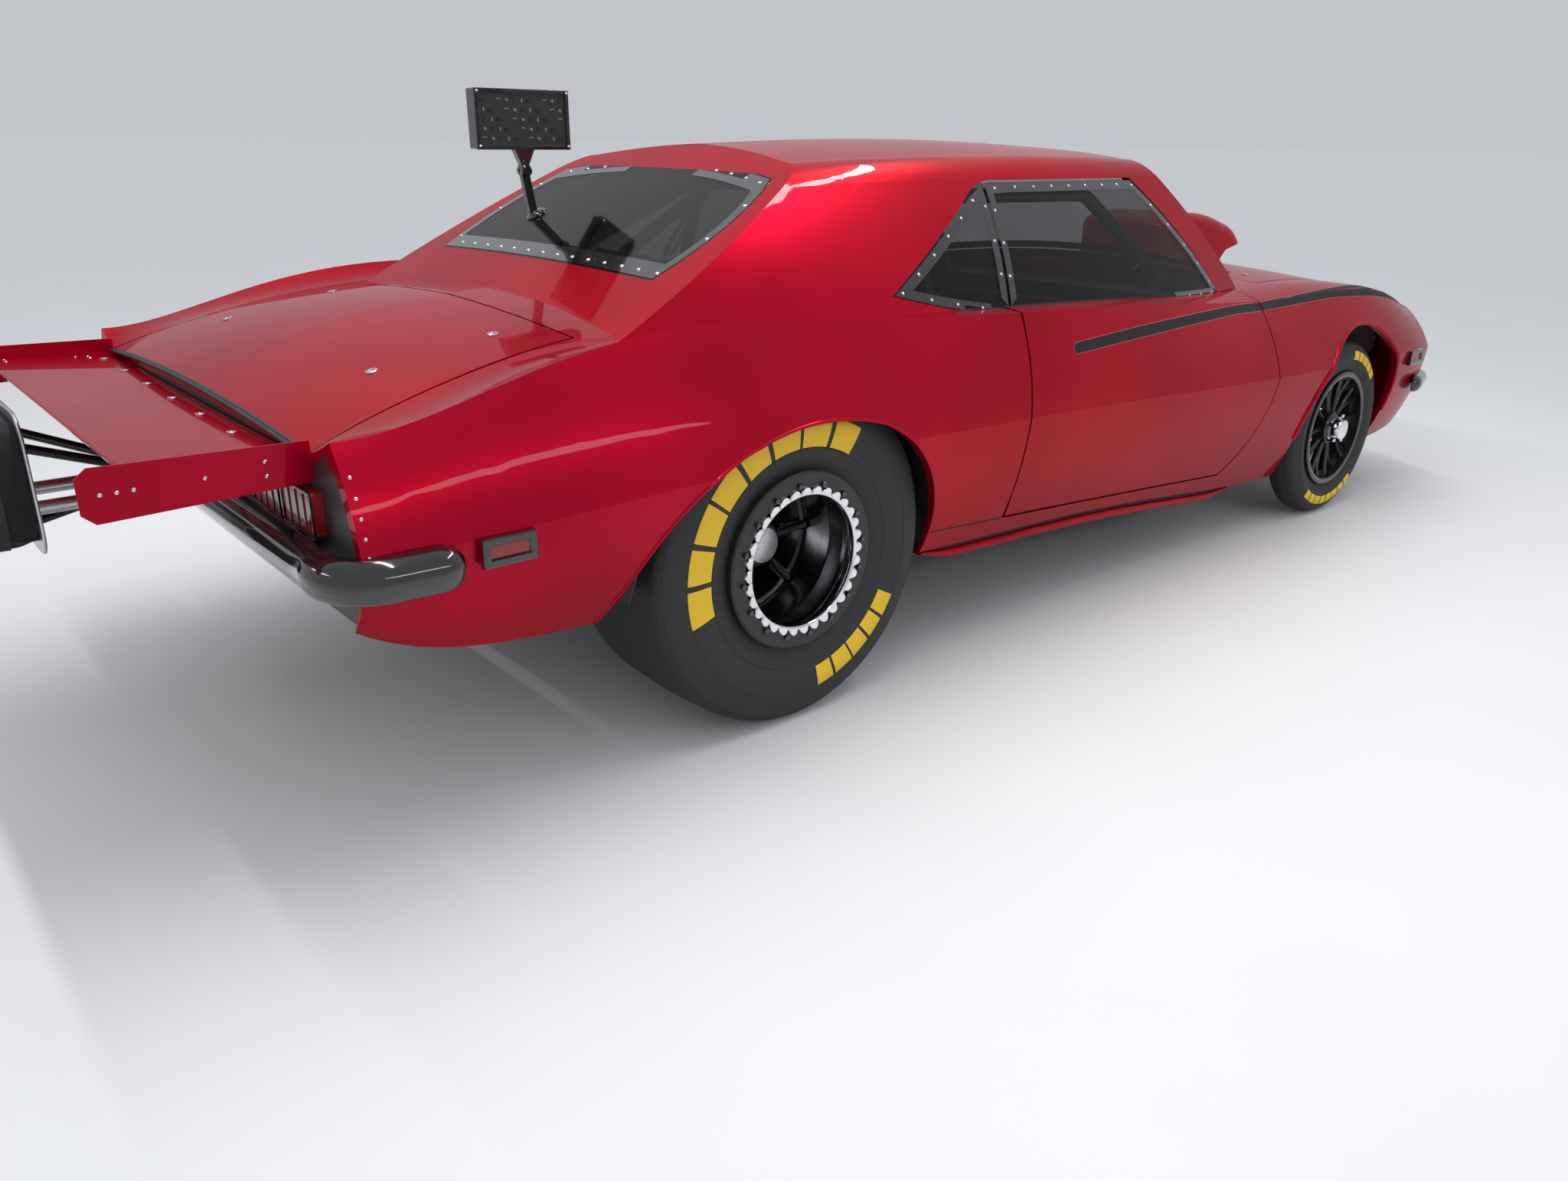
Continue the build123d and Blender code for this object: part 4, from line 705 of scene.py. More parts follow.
# Node, title, first and last x, and whether the rear end is rounded
for side, word in SIDES:
    for node, title, first, last, rounded in (
            (f"door_{word}", "door", STRIPE[0][0] + STRIPE_END, 2.0785, True),
            ("fenders", "fender", 2.0875, 3.484, False)):
        body = nodes[node]["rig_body"]
        stripe(node, first, last, side, 0.0025, 0.0006, rounded).piece(
            f"stripe_edge_{title}_{word}", BRIGHT_RED, body, "body_paint", 60)
        stripe(node, first, last, side, 0.0, 0.0010, rounded).piece(
            f"stripe_{title}_{word}", MATTE_BLACK, body, "black_trim", 60)

# Seam that runs on from the door's lower rear corner, given as (x, z), to the rear wheel opening
DOOR_CORNER = (0.766, 0.3665)
SEAM_REAR = 0.442
SEAM_FRONT = 0.758
SEAM_SLOPE = 0.0705
seams = Shape()
for side in (-1, 1):
    rows = []
    for k in range(25):
        x = SEAM_REAR + (SEAM_FRONT - SEAM_REAR) * k / 24
        z = DOOR_CORNER[1] + (DOOR_CORNER[0] - x) * SEAM_SLOPE
        rows.append([cast(["body_shell"], at(x, side * 1.4, z + dz), (0, -side, 0), 0.0005)[0]
                     for dz in (-0.0022, 0.0, 0.0022)])
    seams.grid(rows)
seams.piece("sill_seams", MATTE_BLACK, "car", "black_trim", 60)

# Below each sill: a matte black block painted as the shade in the groove under the door, and a turned-under
# rocker, from the rear wheel opening to the fender.
# Sections hold (distance outside the sill's lower edge, height above it).
# The groove section is a matte black block: painted shade in the gap between door and rocker.
GROOVE_SHADE = ((-0.016, 0.006), (-0.016, -0.022), (-0.040, -0.022), (-0.040, 0.006))
ROCKER = ((-0.014, -0.016), (-0.007, -0.022), (-0.006, -0.032), (-0.013, -0.044), (-0.030, -0.050),
          (-0.045, -0.016))
SILL_REAR = 0.47
SILL_LENGTH = 1.60
SILL_STEPS = 32
# The sill's lower edge is the lowest height above SCAN_LOW at which the body is SILL_OUT wide
SCAN_LOW = 0.12
SCAN_HIGH = 0.42
SCAN_STEP = 0.002
SILL_OUT = 0.68
groove_shades = Shape()
rockers = Shape()
for side in (-1, 1):
    shade_rows = []
    red_rows = []
    for k in range(SILL_STEPS + 1):
        x = SILL_REAR + SILL_LENGTH * k / SILL_STEPS
        level = SCAN_LOW
        outer = 0.0
        while outer < SILL_OUT and level < SCAN_HIGH:
            level += SCAN_STEP
            spot, _ = cast(["body_shell"], at(x, side * 1.4, level), (0, -side, 0))
            outer = abs(spot.y) if spot is not None else 0.0
        full = min(1.0, 0.35 + 0.25 * min(k, SILL_STEPS - k))
        for rows, section in ((shade_rows, GROOVE_SHADE), (red_rows, ROCKER)):
            rows.append([at(x, side * (outer + dy), level + dz * full) for dy, dz in section])
    groove_shades.sweep(shade_rows)
    rockers.sweep(red_rows)
# Painted shade: matte black blocks fill the grooves where the gaps fall dark.
groove_shades.piece("sill_groove_shades", MATTE_BLACK, "car", "black_trim", 40)
rockers.piece("sill_rockers", PAINT, "car", "body_paint", 60)

# Window borders and their screws. Outlines hold (x, z) at the sides and (y, z) at the ends.
QUARTER = [p for p in arc_points((0.392, 0.985), (0.640, 0.932), (0.884, 0.905), 12) if p[0] < 0.775]
QUARTER += [(0.7835, 0.9150), (0.8800, 1.2340), (0.802, 1.203)]
DOOR_GLASS = [(0.7900, 0.9140), (0.884, 0.905), (1.9745, 0.8705), (1.604, 1.2340), (0.960, 1.2360),
              (0.8875, 1.2330)]
BACK = (arc_points((-0.520, 1.040), (0, 1.048), (0.520, 1.040), 12)
        + arc_points((0.520, 1.040), (0.536, 1.130), (0.470, 1.252), 6)[1:]
        + arc_points((0.470, 1.252), (0, 1.284), (-0.470, 1.252), 12)[1:]
        + arc_points((-0.470, 1.252), (-0.536, 1.130), (-0.520, 1.040), 6)[1:-1])
FRONT_GLASS = (arc_points((-0.650, 0.905), (0, 0.948), (0.650, 0.905), 12)
               + arc_points((0.508, 1.258), (0, 1.288), (-0.508, 1.258), 12))


SCREW_INSET = 0.013


def glass_trim(title, suffix, node, outline, project, way, width, pitch, radius, height):
    """A painted border on one pane, and its row of screws."""
    body = nodes[node]["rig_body"]
    border = Shape()
    band(border, [node], outline, *width, project, way, 0.0008)
    border.piece(f"{title}_glass_border{suffix}", BLACK_GLOSS, body, "black_trim", 40)
    heads = Shape()
    screws(heads, [node], outline, SCREW_INSET, pitch, project, way, radius, height)
    heads.piece(f"{title}_glass_screws{suffix}", STEEL, body, "bare_metal", 40)


for side, word in SIDES:
    def from_side(place, side=side):
        return at(place[0], side * 1.2, place[1])

    for title, outline, node in (("quarter", QUARTER, "quarter_windows"),
                                 ("door", DOOR_GLASS, f"door_window_{word}")):
        glass_trim(title, f"_{word}", node, outline, from_side, (0, -side, 0), (0.0025, 0.026),
                   0.085, 0.0045, 0.0032)

for title, outline, node, start, facing in (("rear", BACK, "rear_window", -1.2, 1),
                                            ("screen", FRONT_GLASS, "windscreen", 3.4, -1)):
    def from_end(place, start=start):
        return at(start, place[0], place[1])

    glass_trim(title, "", node, outline, from_end, (facing, 0, 0), (0.003, 0.030), 0.075, 0.0055, 0.0036)

# Deck lid and hood: twist fasteners, and the seal along the deck lid's rear edge
DOWN = (0, 0, -1)


def fastener(shape, spot, normal, radius=0.013):
    """A round fastener with a bar across it."""
    section = [(-0.001, radius), (0.0022, radius), (0.0030, radius * 0.85), (0.0030, radius * 0.60),
               (0.0012, radius * 0.55), (0.0012, radius * 0.02)]
    shape.turned(spot, normal, section, 20)
    reach = normal.orthogonal().normalized() * radius * 0.5
    shape.tube([spot + reach + normal * 0.002, spot - reach + normal * 0.002], 0.0016, 6)


for title, node, spots in (("deck", "deck_lid", ((-0.816, 0.45), (-0.541, 0.45))),
                           ("hood", "hood", ((3.38, 0.46), (2.50, 0.52)))):
    shape = Shape()
    for x, y in spots:
        for side in (-1, 1):
            fastener(shape, *cast([node], at(x, side * y, 1.6), DOWN))
    shape.piece(f"{title}_fasteners", STEEL, nodes[node]["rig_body"], "bare_metal", 30)

DECK_EDGE = -1.0365
SEAL_HALF = 0.676
seal = Shape()
for back, radius in ((0.0045, 0.0055), (-0.0065, 0.0050), (0.0135, 0.0045)):
    line = []
    for k in range(49):
        y = -SEAL_HALF + 2 * SEAL_HALF * k / 48
        spot, _ = cast(["deck_lid"], at(DECK_EDGE, y, 1.4), DOWN)
        line.append(at(DECK_EDGE - back, y, spot.z - 0.0035))
    seal.tube(line, radius, 8)
seal.piece("deck_seal", SEAL, nodes["deck_lid"]["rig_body"], "black_trim", 50)

# Spoiler: fasteners on the front flange, rivets in threes, rivets down the quarters' rear edges
rivets = Shape()
flange = Shape()


def rivet(node, start, way, radius):
    """A rivet where a ray meets the node."""
    spot, normal = cast([node], start, way)
    if spot is not None:
        rivets.button(spot, normal, radius, 0.0028)


for k in range(7):
    fastener(flange, *cast(["spoiler"], at(-1.085, -0.60 + 1.20 * k / 6, 1.2), DOWN), 0.010)
for side in (-1, 1):
    inward = (0, -side, 0)
    for dx, dy in ((0.0, 0.0), (-0.028, 0.0), (0.0, 0.028)):
        for x in (-1.292, -1.110):
            rivet("spoiler", at(x + dx, side * (0.655 - dy), 1.2), DOWN, 0.0038)
    for x, z in ((-1.33, 0.800), (-1.355, 0.800), (-1.38, 0.800), (-1.12, 0.812), (-1.12, 0.786),
                 (-1.22, 0.800)):
        rivet("spoiler", at(x, side * 1.2, z), inward, 0.0038)
    for k in range(5):
        rivet("body_shell", at(-1.026, side * 1.4, 0.66 + 0.034 * k), inward, 0.0036)
rivets.piece("spoiler_rivets", STEEL, "car", "bare_metal", 40)
flange.piece("spoiler_fasteners", STEEL, "car", "bare_metal", 30)

# Bumpers: full rounded blades. The section holds (share of the swell, share of the height).
BLADE_BACK = -0.008
BLADE_TAPER = 0.055
BLADE = ((BLADE_BACK, -0.5), (0.000, -0.5), (0.35, -0.47), (0.72, -0.36), (0.95, -0.17), (1.0, 0.0),
         (0.95, 0.17), (0.72, 0.36), (0.35, 0.47), (0.000, 0.5), (BLADE_BACK, 0.5))
REAR_HALF = ([(-1.085, 0.76 * k / 16) for k in range(17)]
             + arc_points((-1.085, 0.760), (-1.068, 0.852), (-1.000, 0.894), 12)[1:]
             + [(-1.0 + 0.14 * k / 12, 0.894 + 0.010 * k / 12) for k in range(1, 13)])
FRONT_HALF = (arc_points((3.656, 0), (3.640, 0.380), (3.584, 0.700), 20)
              + arc_points((3.584, 0.700), (3.560, 0.790), (3.470, 0.846), 12)[1:]
              + [(3.47 - 0.14 * k / 12, 0.846 + 0.036 * k / 12) for k in range(1, 13)])


def bumper(name, half_line, low, high, swell, node, facing):
    """A blade with a bulged face swept along its plan route, its ends rounded off."""
    route = [(x, -y) for x, y in reversed(half_line)] + half_line[1:]
    lengths = [0.0]
    for a, b in zip(route, route[1:]):
        lengths.append(lengths[-1] + math.dist(a, b))
    rows = []
    for i, (x, y) in enumerate(route):
        before = Vector(route[max(0, i - 1)])
        after = Vector(route[min(len(route) - 1, i + 1)])
        way = (after - before).normalized()
        out = Vector((way.y, -way.x)) * facing
        end = min(lengths[i], lengths[-1] - lengths[i])
        taper = max(0.04, math.sqrt(max(0.0, 1 - (1 - min(1.0, end / BLADE_TAPER)) ** 2)))
        row = []
        for d, h in BLADE:
            reach = BLADE_BACK + swell * max(d, 0) * taper + min(d, 0)
            z = (low + high) / 2 + (high - low) * h * (0.25 + 0.75 * taper)
            row.append(at(x + out.x * reach, y + out.y * reach, z))
        rows.append(row)
    Shape().sweep(rows).piece(name, BLACK_GLOSS, "car", "black_gloss", 50, replaces=[node])


bumper("rear_bumper_blade", REAR_HALF, 0.575, 0.662, 0.040, "rear_bumper", -1)
bumper("front_bumper_blade", FRONT_HALF, 0.394, 0.464, 0.028, "front_bumper", 1)

# Side markers: thick black bezels round red lenses
BEZEL = ((-0.010, 0.0), (0.0035, 0.0), (0.0055, 0.003), (0.0055, 0.013), (0.0005, 0.0165))
bezels = Shape()
for x, z in ((-0.773, 0.631), (3.240, 0.556)):
    for side in (-1, 1):
        rows = []
        for y_out, shrink in BEZEL:
            across = 0.056 - shrink
            tall = 0.028 - shrink
            row = []
            for right, up in ((-1, -1), (1, -1), (1, 1), (-1, 1)):
                start = at(x + right * min(0.050, across), side * 1.4, z + up * min(0.022, tall))
                spot, _ = cast(["side_markers"], start, (0, -side, 0))
                row.append(at(x + right * across, spot.y + side * y_out, z + up * tall))
            rows.append(row)
        bezels.grid(rows, loop_columns=True)
bezels.piece("side_marker_bezels", BLACK_GLOSS, "car", "black_gloss", 30)

# Tail lamps: bezels and dividing ribs
LAMP_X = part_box("tail_lamps")[0].x - 0.001
LAMP_Z = 0.706
lamp_frames = Shape()
for y in (-0.650, -0.480, 0.480, 0.650):
    for dy in (-0.0375, 0.0, 0.0375):
        lamp_frames.block((LAMP_X, y + dy, LAMP_Z), (0.003, 0.004, 0.080))
    for dy, dz, sy, sz in ((0, 0.042, 0.154, 0.006), (0, -0.042, 0.154, 0.006), (0.0745, 0, 0.006, 0.078),
                           (-0.0745, 0, 0.006, 0.078)):
        lamp_frames.block((LAMP_X, y + dy, LAMP_Z + dz), (0.005, sy, sz))
lamp_frames.piece("tail_lamp_frames", BLACK_GLOSS, "car", "black_gloss", 30, bevel=0.001)

# Headlamp rings and domed lenses
HEADLAMP_Y = 0.522
HEADLAMP_Z = 0.560
LAMP_RING = ((-0.006, 0.090), (0.004, 0.0905), (0.008, 0.086), (0.006, 0.080), (0.0, 0.078))
LAMP_DOME = ((0.001, 0.0785), (0.006, 0.070), (0.011, 0.050), (0.014, 0.025), (0.0145, 0.001))
rings = Shape()
lenses = Shape()
for side in (-1, 1):
    centre = Vector((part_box("headlamps")[1].x, side * HEADLAMP_Y, HEADLAMP_Z))
    rings.turned(centre, AHEAD, LAMP_RING)
    lenses.turned(centre, AHEAD, LAMP_DOME)
rings.piece("headlamp_rings", CHROME, "car", "lamp_glass", 40)
lenses.piece("headlamp_lenses", CLEAR_LENS, "car", "lamp_glass", 60)

# Rolled lips round the wheel openings
REAR_ARCH = (arc_points((0.452, 0.330), (0.406, 0.548), (0.223, 0.719), 16)
             + arc_points((0.223, 0.719), (0.030, 0.752), (-0.160, 0.728), 16)[1:]
             + arc_points((-0.160, 0.728), (-0.340, 0.648), (-0.462, 0.520), 12)[1:]
             + [(-0.505, 0.457), (-0.546, 0.398)])
ARCH_RADIUS = 0.372
ARCH_Z = 0.350
ARCH_X = FRONT.x - AXLE_X + 0.012
HALF_TURN = [math.pi * k / 40 for k in range(41)]
FRONT_ARCH = [(ARCH_X + ARCH_RADIUS * math.cos(a), ARCH_Z + ARCH_RADIUS * math.sin(a)) for a in HALF_TURN]
for title, line, node, radius, grow in (("rear", REAR_ARCH, "body_shell", 0.0045, 0.006),
                                        ("front", FRONT_ARCH, "fenders", 0.0085, 0.009)):
    lips = Shape()
    middle_x = sum(p[0] for p in line) / len(line)
    for side in (-1, 1):
        run = []
        for x, z in line:
            away = Vector((x - middle_x, z - 0.38)).normalized()
            spot, _ = cast([node], at(x + away.x * grow, side * 1.5, z + away.y * grow), (0, -side, 0))
            if spot is not None and abs(spot.y) > 0.6:
                run.append(at(x + away.x * grow * 0.5, spot.y - side * 0.001, z + away.y * grow * 0.5))
        lips.tube(run, radius)
    lips.piece(f"{title}_arch_lips", PAINT, "car", "body_paint", 60)

# Dial board: frame, circuit board with blank parts, clear cover, four screws, swivel knobs and foot
BOARD_X = -0.040
BOARD_Y = 0.262
BOARD_Z = 1.382
FACING = (0, -1, 0)


def on_board(dx, out, dz):
    """A point counted from the middle of the board, out from its face."""
    return at(BOARD_X + dx, BOARD_Y - out, BOARD_Z + dz)


board = Shape().block(on_board(0, 0.0012, 0), (0.262, 0.0016, 0.130))
board.piece("dial_circuit_board", CIRCUIT, "car", "black_trim", 30)
frame_bars = Shape()
for dx, dz, sx, sz in ((0, 0.071, 0.284, 0.010), (0, -0.071, 0.284, 0.010), (0.137, 0, 0.010, 0.134),
                       (-0.137, 0, 0.010, 0.134)):
    frame_bars.block(on_board(dx, 0.004, dz), (sx, 0.009, sz))
frame_bars.piece("dial_frame", BLACK_GLOSS, "car", "black_gloss", 30, bevel=0.001)
chips = Shape()
pale_parts = Shape()
# Blocks by kind: group, distance out, rise, size
PARTS = {0: (chips, 0.004, 0.0, (0.016, 0.004, 0.007)),
         1: (pale_parts, 0.003, 0.0, (0.004, 0.003, 0.010)),
         2: (chips, 0.003, 0.0, (0.006, 0.003, 0.012)),
         4: (pale_parts, 0.0025, 0.003, (0.012, 0.002, 0.003))}
ROUND_PART = ((0, 0.004), (0.005, 0.004), (0.0052, 0.0002))
for row in range(5):
    for column in range(11):
        dx = -0.115 + column * 0.023
        dz = 0.048 - row * 0.024
        kind = (row * 7 + column * 5) % 6
        if kind in PARTS:
            group, out, rise, size = PARTS[kind]
            group.block(on_board(dx, out, dz + rise), size)
        elif kind == 3:
            pale_parts.turned(on_board(dx, 0.002, dz), FACING, ROUND_PART, 10)
chips.piece("dial_chips", BLACK_SATIN, "car", "black_trim", 30)
pale_parts.piece("dial_small_parts", BOARD_PARTS, "car", "bare_metal", 30)
cover = Shape().block(on_board(0, 0.0095, 0), (0.280, 0.002, 0.148))
cover.piece("dial_cover", COVER, "car", "window_plastic", 30)
board_screws = Shape()
for dx in (-0.134, 0.134):
    for dz in (-0.068, 0.068):
        board_screws.button(on_board(dx, 0.0105, dz), FACING, 0.0042, 0.003)
KNOB_X = -0.034
KNOB_Z = 1.252
knob = Shape()
knob.turned(at(KNOB_X, BOARD_Y + 0.008, KNOB_Z), FACING,
            [(-0.004, 0.016), (0.006, 0.016), (0.010, 0.012), (0.010, 0.0002)], 20)
knob.turned(at(KNOB_X, BOARD_Y + 0.028, KNOB_Z), (0, 1, 0),
            [(-0.004, 0.014), (0.006, 0.014), (0.009, 0.010), (0.009, 0.0002)], 20)
knob.piece("dial_swivel_knobs", BLACK_GLOSS, "car", "black_gloss", 40)
board_screws.piece("dial_screws", STEEL, "car", "bare_metal", 40)
spot, normal = cast(["rear_window"], at(-1.2, BOARD_Y + 0.018, 1.135), (1, 0, 0))
foot = Shape().turned(spot, normal, [(-0.0005, 0.030), (0.004, 0.030), (0.010, 0.022), (0.012, 0.0002)], 28)
foot.piece("dial_foot", BLACK_GLOSS, "car", "black_gloss", 40)

# Parachute pack: stuffed black cloth with two straps and their buckles, on its plate
PACK_LOW, PACK_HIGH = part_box("parachute_pack")
PACK_Y = (PACK_LOW.y + PACK_HIGH.y) / 2
PACK_Z = (PACK_LOW.z + PACK_HIGH.z) / 2
PACK_HALF_Y = (PACK_HIGH.y - PACK_LOW.y) / 2 - 0.006
PACK_HALF_Z = (PACK_HIGH.z - PACK_LOW.z) / 2 - 0.006
PACK_SQUARE = 0.42
PACK_SHOULDER = 0.72


def pack_point(u, v, grow=0.0):
    """A point of the stuffed pack: u runs round it, v from the plate to the rear."""
    c = math.cos(u)
    s = math.sin(u)
    past = max(0.0, v - PACK_SHOULDER) / 0.28
    close = math.sqrt(max(0.0, 1 - past ** 2))
    tuck = 1 - 0.05 * math.exp(-(v / 0.10) ** 2)
    ripple = (0.0030 * math.sin(5 * u + 3.0 * v) * math.sin(9 * v + 2 * u)
              + 0.0018 * math.sin(13 * u + 17 * v))
    size = close * tuck
    x = PACK_HIGH.x - 0.001 - (PACK_HIGH.x - PACK_LOW.x - 0.004) * v
    y = math.copysign(abs(c) ** PACK_SQUARE, c) * ((PACK_HALF_Y + grow) * size + ripple * close)
    z = math.copysign(abs(s) ** PACK_SQUARE, s) * ((PACK_HALF_Z + grow) * size + ripple * close)
    return Vector((x, PACK_Y + y, PACK_Z + z))


ROUND = [2 * math.pi * j / 72 for j in range(72)]
pack = Shape().sweep([[pack_point(u, min(0.999, k / 40)) for u in ROUND] for k in range(41)])
pack_piece = pack.piece("pack_cloth", CLOTH, "car", "pack_fabric", 60, replaces=["parachute_pack"])
straps = Shape()
for v0 in (0.22, 0.55):
    section = ((v0, 0.0005), (v0, 0.0035), (v0 + 0.09, 0.0035), (v0 + 0.09, 0.0005))
    straps.grid([[pack_point(u, v, grow) for v, grow in section] for u in ROUND], loop_rows=True)
straps.piece("pack_straps", WEBBING, "car", "pack_fabric", 50)
buckles = Shape()
for v0 in (0.265, 0.595):
    for u in (1.5, 0.5):
        buckles.block(pack_point(math.pi * u, v0, 0.004), (0.034, 0.030, 0.005))
buckles.piece("pack_buckles", BARE, "car", "bare_metal", 30, bevel=0.0015)

# Bright edge of the pack's plate, and braces behind the tail
PLATE_X = -1.3625
PLATE_Y = 0.290
PLATE_Z = 0.620
PLATE_HALF_Y = 0.173
PLATE_HALF_Z = 0.158
PLATE_CORNER = 0.06
plate_line = []
for quarter, (cy, cz) in enumerate(((1, 1), (-1, 1), (-1, -1), (1, -1))):
    for k in range(9):
        a = math.pi / 2 * (quarter + k / 8)
        plate_line.append(at(PLATE_X,
                             PLATE_Y + cy * (PLATE_HALF_Y - PLATE_CORNER) + PLATE_CORNER * math.cos(a),
                             PLATE_Z + cz * (PLATE_HALF_Z - PLATE_CORNER) + PLATE_CORNER * math.sin(a)))
edge = Shape().tube(plate_line, 0.0040, 8, loop=True)
edge.piece("pack_plate_edge", BARE, "car", "bare_metal", 50)
braces = Shape()
for y0, z0, y1, z1 in ((0.397, 0.535, 0.415, 0.700), (0.300, 0.545, 0.175, 0.700),
                       (0.397, 0.545, 0.290, 0.500)):
    braces.tube([at(-0.998, y0, z0), at(-1.360, y1, z1)], 0.011, 12)
for side in (-1, 1):
    for radius, line in ((0.009, ((-0.990, 0.600, 0.560), (-1.060, 0.640, 0.640), (-1.200, 0.660, 0.784))),
                         (0.011, ((-0.990, 0.780, 0.556), (-0.800, 0.560, 0.430), (-0.620, 0.420, 0.545)))):
        braces.tube([at(x, side * y, z) for x, y, z in line], radius, 12)
braces.piece("tail_braces", TUBE_BLACK, "car", "frame_black", 50)

# Seat pads and belts
SEAT_Y = 0.355
LYING = Matrix.Rotation(math.radians(-10.7), 3, "Y")
UPRIGHT = Matrix.Rotation(math.radians(-14.5), 3, "Y")
PADS = ((1.215, 0, 0.472, (0.340, 0.300, 0.050), LYING),
        (0.974, 0, 0.700, (0.040, 0.300, 0.430), UPRIGHT),
        (0.985, -0.180, 0.700, (0.085, 0.055, 0.430), UPRIGHT),
        (1.215, -0.180, 0.492, (0.340, 0.055, 0.075), LYING),
        (0.985, 0.180, 0.700, (0.085, 0.055, 0.430), UPRIGHT),
        (1.215, 0.180, 0.492, (0.340, 0.055, 0.075), LYING),
        (0.886, 0, 0.972, (0.050, 0.220, 0.110), UPRIGHT))
BELT = ((0.860, 1.010), (0.905, 1.006), (0.936, 0.945), (0.992, 0.740), (1.020, 0.620), (1.055, 0.520))
pads = Shape()
for x, dy, z, size, turn in PADS:
    pads.block(at(x, SEAT_Y + dy, z), size, turn)
pads_piece = pads.piece("seat_pads", CLOTH, "car", "seat_cloth", 50, bevel=0.014)
belts = Shape()
for side in (-1, 1):
    y = SEAT_Y + side * 0.085
    rows = []
    for x, z in BELT:
        rows.append([at(x + dx, y + dy, z)
                     for dx, dy in ((0.012, -0.024), (0.012, 0.024), (0.008, 0.024), (0.008, -0.024))])
    belts.grid(rows, loop_columns=True)
belts.piece("shoulder_belts", BELT_CLOTH, "car", "seat_cloth", 50)

# Shifter beside the seat, dials on the dashboard
shifter = Shape()
shifter.tube([at(1.48, 0.060, 0.455), at(1.46, 0.070, 0.600), at(1.44, 0.075, 0.700)], 0.009, 12)
shifter.turned(at(1.44, 0.075, 0.700), (-0.1, 0, 1),
               [(0, 0.006), (0.012, 0.022), (0.028, 0.026), (0.042, 0.018), (0.046, 0.0002)], 24)
shifter.block(at(1.50, 0.060, 0.462), (0.200, 0.100, 0.050))
shifter.piece("shifter", BLACK_SATIN, "car", "black_trim", 40, bevel=0.002)
DIALS = ((0.355, 0.800, 0.055), (0.230, 0.795, 0.030), (0.480, 0.795, 0.030), (0.150, 0.795, 0.030),
         (0.560, 0.795, 0.026))
dials = Shape()
faces = Shape()
for y, z, radius in DIALS:
    spot, normal = cast(["dashboard"], at(1.60, y, z), (1, 0, 0))
    if spot is not None and spot.x >= AXLE_X + 1.90:
        ring = [(-0.001, radius), (0.010, radius), (0.012, radius * 0.93), (0.004, radius * 0.86)]
        dials.turned(spot, normal, ring, 32)
        faces.turned(spot, normal, [(0.003, radius * 0.88), (0.003, radius * 0.01)], 32)
dials.piece("dash_dial_rings", BARE, "car", "bare_metal", 40)
faces.piece("dash_dial_faces", MATTE_BLACK, "car", "black_trim", 40)

# Pull straps on the inner skins of the doors
for side, word in SIDES:
    line = []
    for x, dz, out in ((1.15, 0.0, 0.001), (1.18, 0.012, 0.022), (1.30, 0.016, 0.022), (1.42, 0.012, 0.022),
                       (1.45, 0.0, 0.001)):
        spot, _ = cast([f"door_{word}"], at(x, side * 0.2, 0.70 + dz), (0, side, 0))
        if spot is not None:
            line.append(spot - Vector((0, side * out, 0)))
    if len(line) > 2:
        Shape().tube(line, 0.009).piece(f"door_pull_{word}", SEAL, f"door_{word}", "black_trim", 50)

# Matte black sheet across the mouth of the scoop: painted shade for the dark inside of the opening
mouth = Shape().block(at(2.905, 0, 0.985), (0.004, 0.372, 0.046))
mouth.piece("scoop_opening_shade", MATTE_BLACK, nodes["hood"]["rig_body"], "black_trim", 30)

# Ball joint of the inside mirror
mirror_low, mirror_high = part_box("inside_mirror")
joint = ((mirror_low.x + mirror_high.x) / 2 + 0.010, mirror_low.y + 0.012,
         (mirror_low.z + mirror_high.z) / 2)
ball = Shape().turned(joint, (0, 1, 0),
                      [(-0.010, 0.0002), (-0.007, 0.007), (0, 0.010), (0.007, 0.007), (0.010, 0.0002)], 16)
ball.piece("mirror_joint", CHROME, "car", "mirror_metal", 60)

# Camera, solved from the photograph: focal length in pixels of a frame 2048 wide
PHOTO_WIDTH = 2048
FOCAL = 1526.16
CAMERA_AT = Vector((AXLE_X - 1.7366, -2.7736, 1.3507))
PITCH = math.radians(21.276)
YAW = math.radians(48.797)
ROLL = math.radians(0.70)


def place_camera():
    forward = Vector((math.cos(YAW) * math.cos(PITCH), math.sin(YAW) * math.cos(PITCH), -math.sin(PITCH)))
    level = Vector((math.sin(YAW), -math.cos(YAW), 0))
    lift = level.cross(forward)
    right = level * math.cos(ROLL) + lift * math.sin(ROLL)
    up = lift * math.cos(ROLL) - level * math.sin(ROLL)
    data = bpy.data.cameras.new("camera")
    data.sensor_width = 36
    data.lens = FOCAL / PHOTO_WIDTH * 36
    data.clip_end = 700
    camera = link(bpy.data.objects.new("camera", data))
    turn = Matrix((right, up, -forward)).transposed().to_4x4()
    camera.matrix_world = Matrix.Translation(CAMERA_AT) @ turn
    bpy.context.scene.camera = camera


def area_lamp(name, place, aim, size, power):
    data = bpy.data.lights.new(name, "AREA")
    data.shape = "ELLIPSE"
    data.size, data.size_y = size
    data.energy = power
    lamp = link(bpy.data.objects.new(name, data))
    lamp.location = place
    lamp.rotation_euler = (Vector(aim) - Vector(place)).to_track_quat("-Z", "Y").to_euler()


def seen_rays(tree):
    """1 for camera, glossy and transmission rays, which see the pale backdrop and floor."""
    path = tree.nodes.new("ShaderNodeLightPath")
    total = path.outputs["Is Camera Ray"]
    for name in ("Is Glossy Ray", "Is Transmission Ray"):
        node = tree.nodes.new("ShaderNodeMath")
        node.operation = "MAXIMUM"
        tree.links.new(total, node.inputs[0])
        tree.links.new(path.outputs[name], node.inputs[1])
        total = node.outputs[0]
    return total


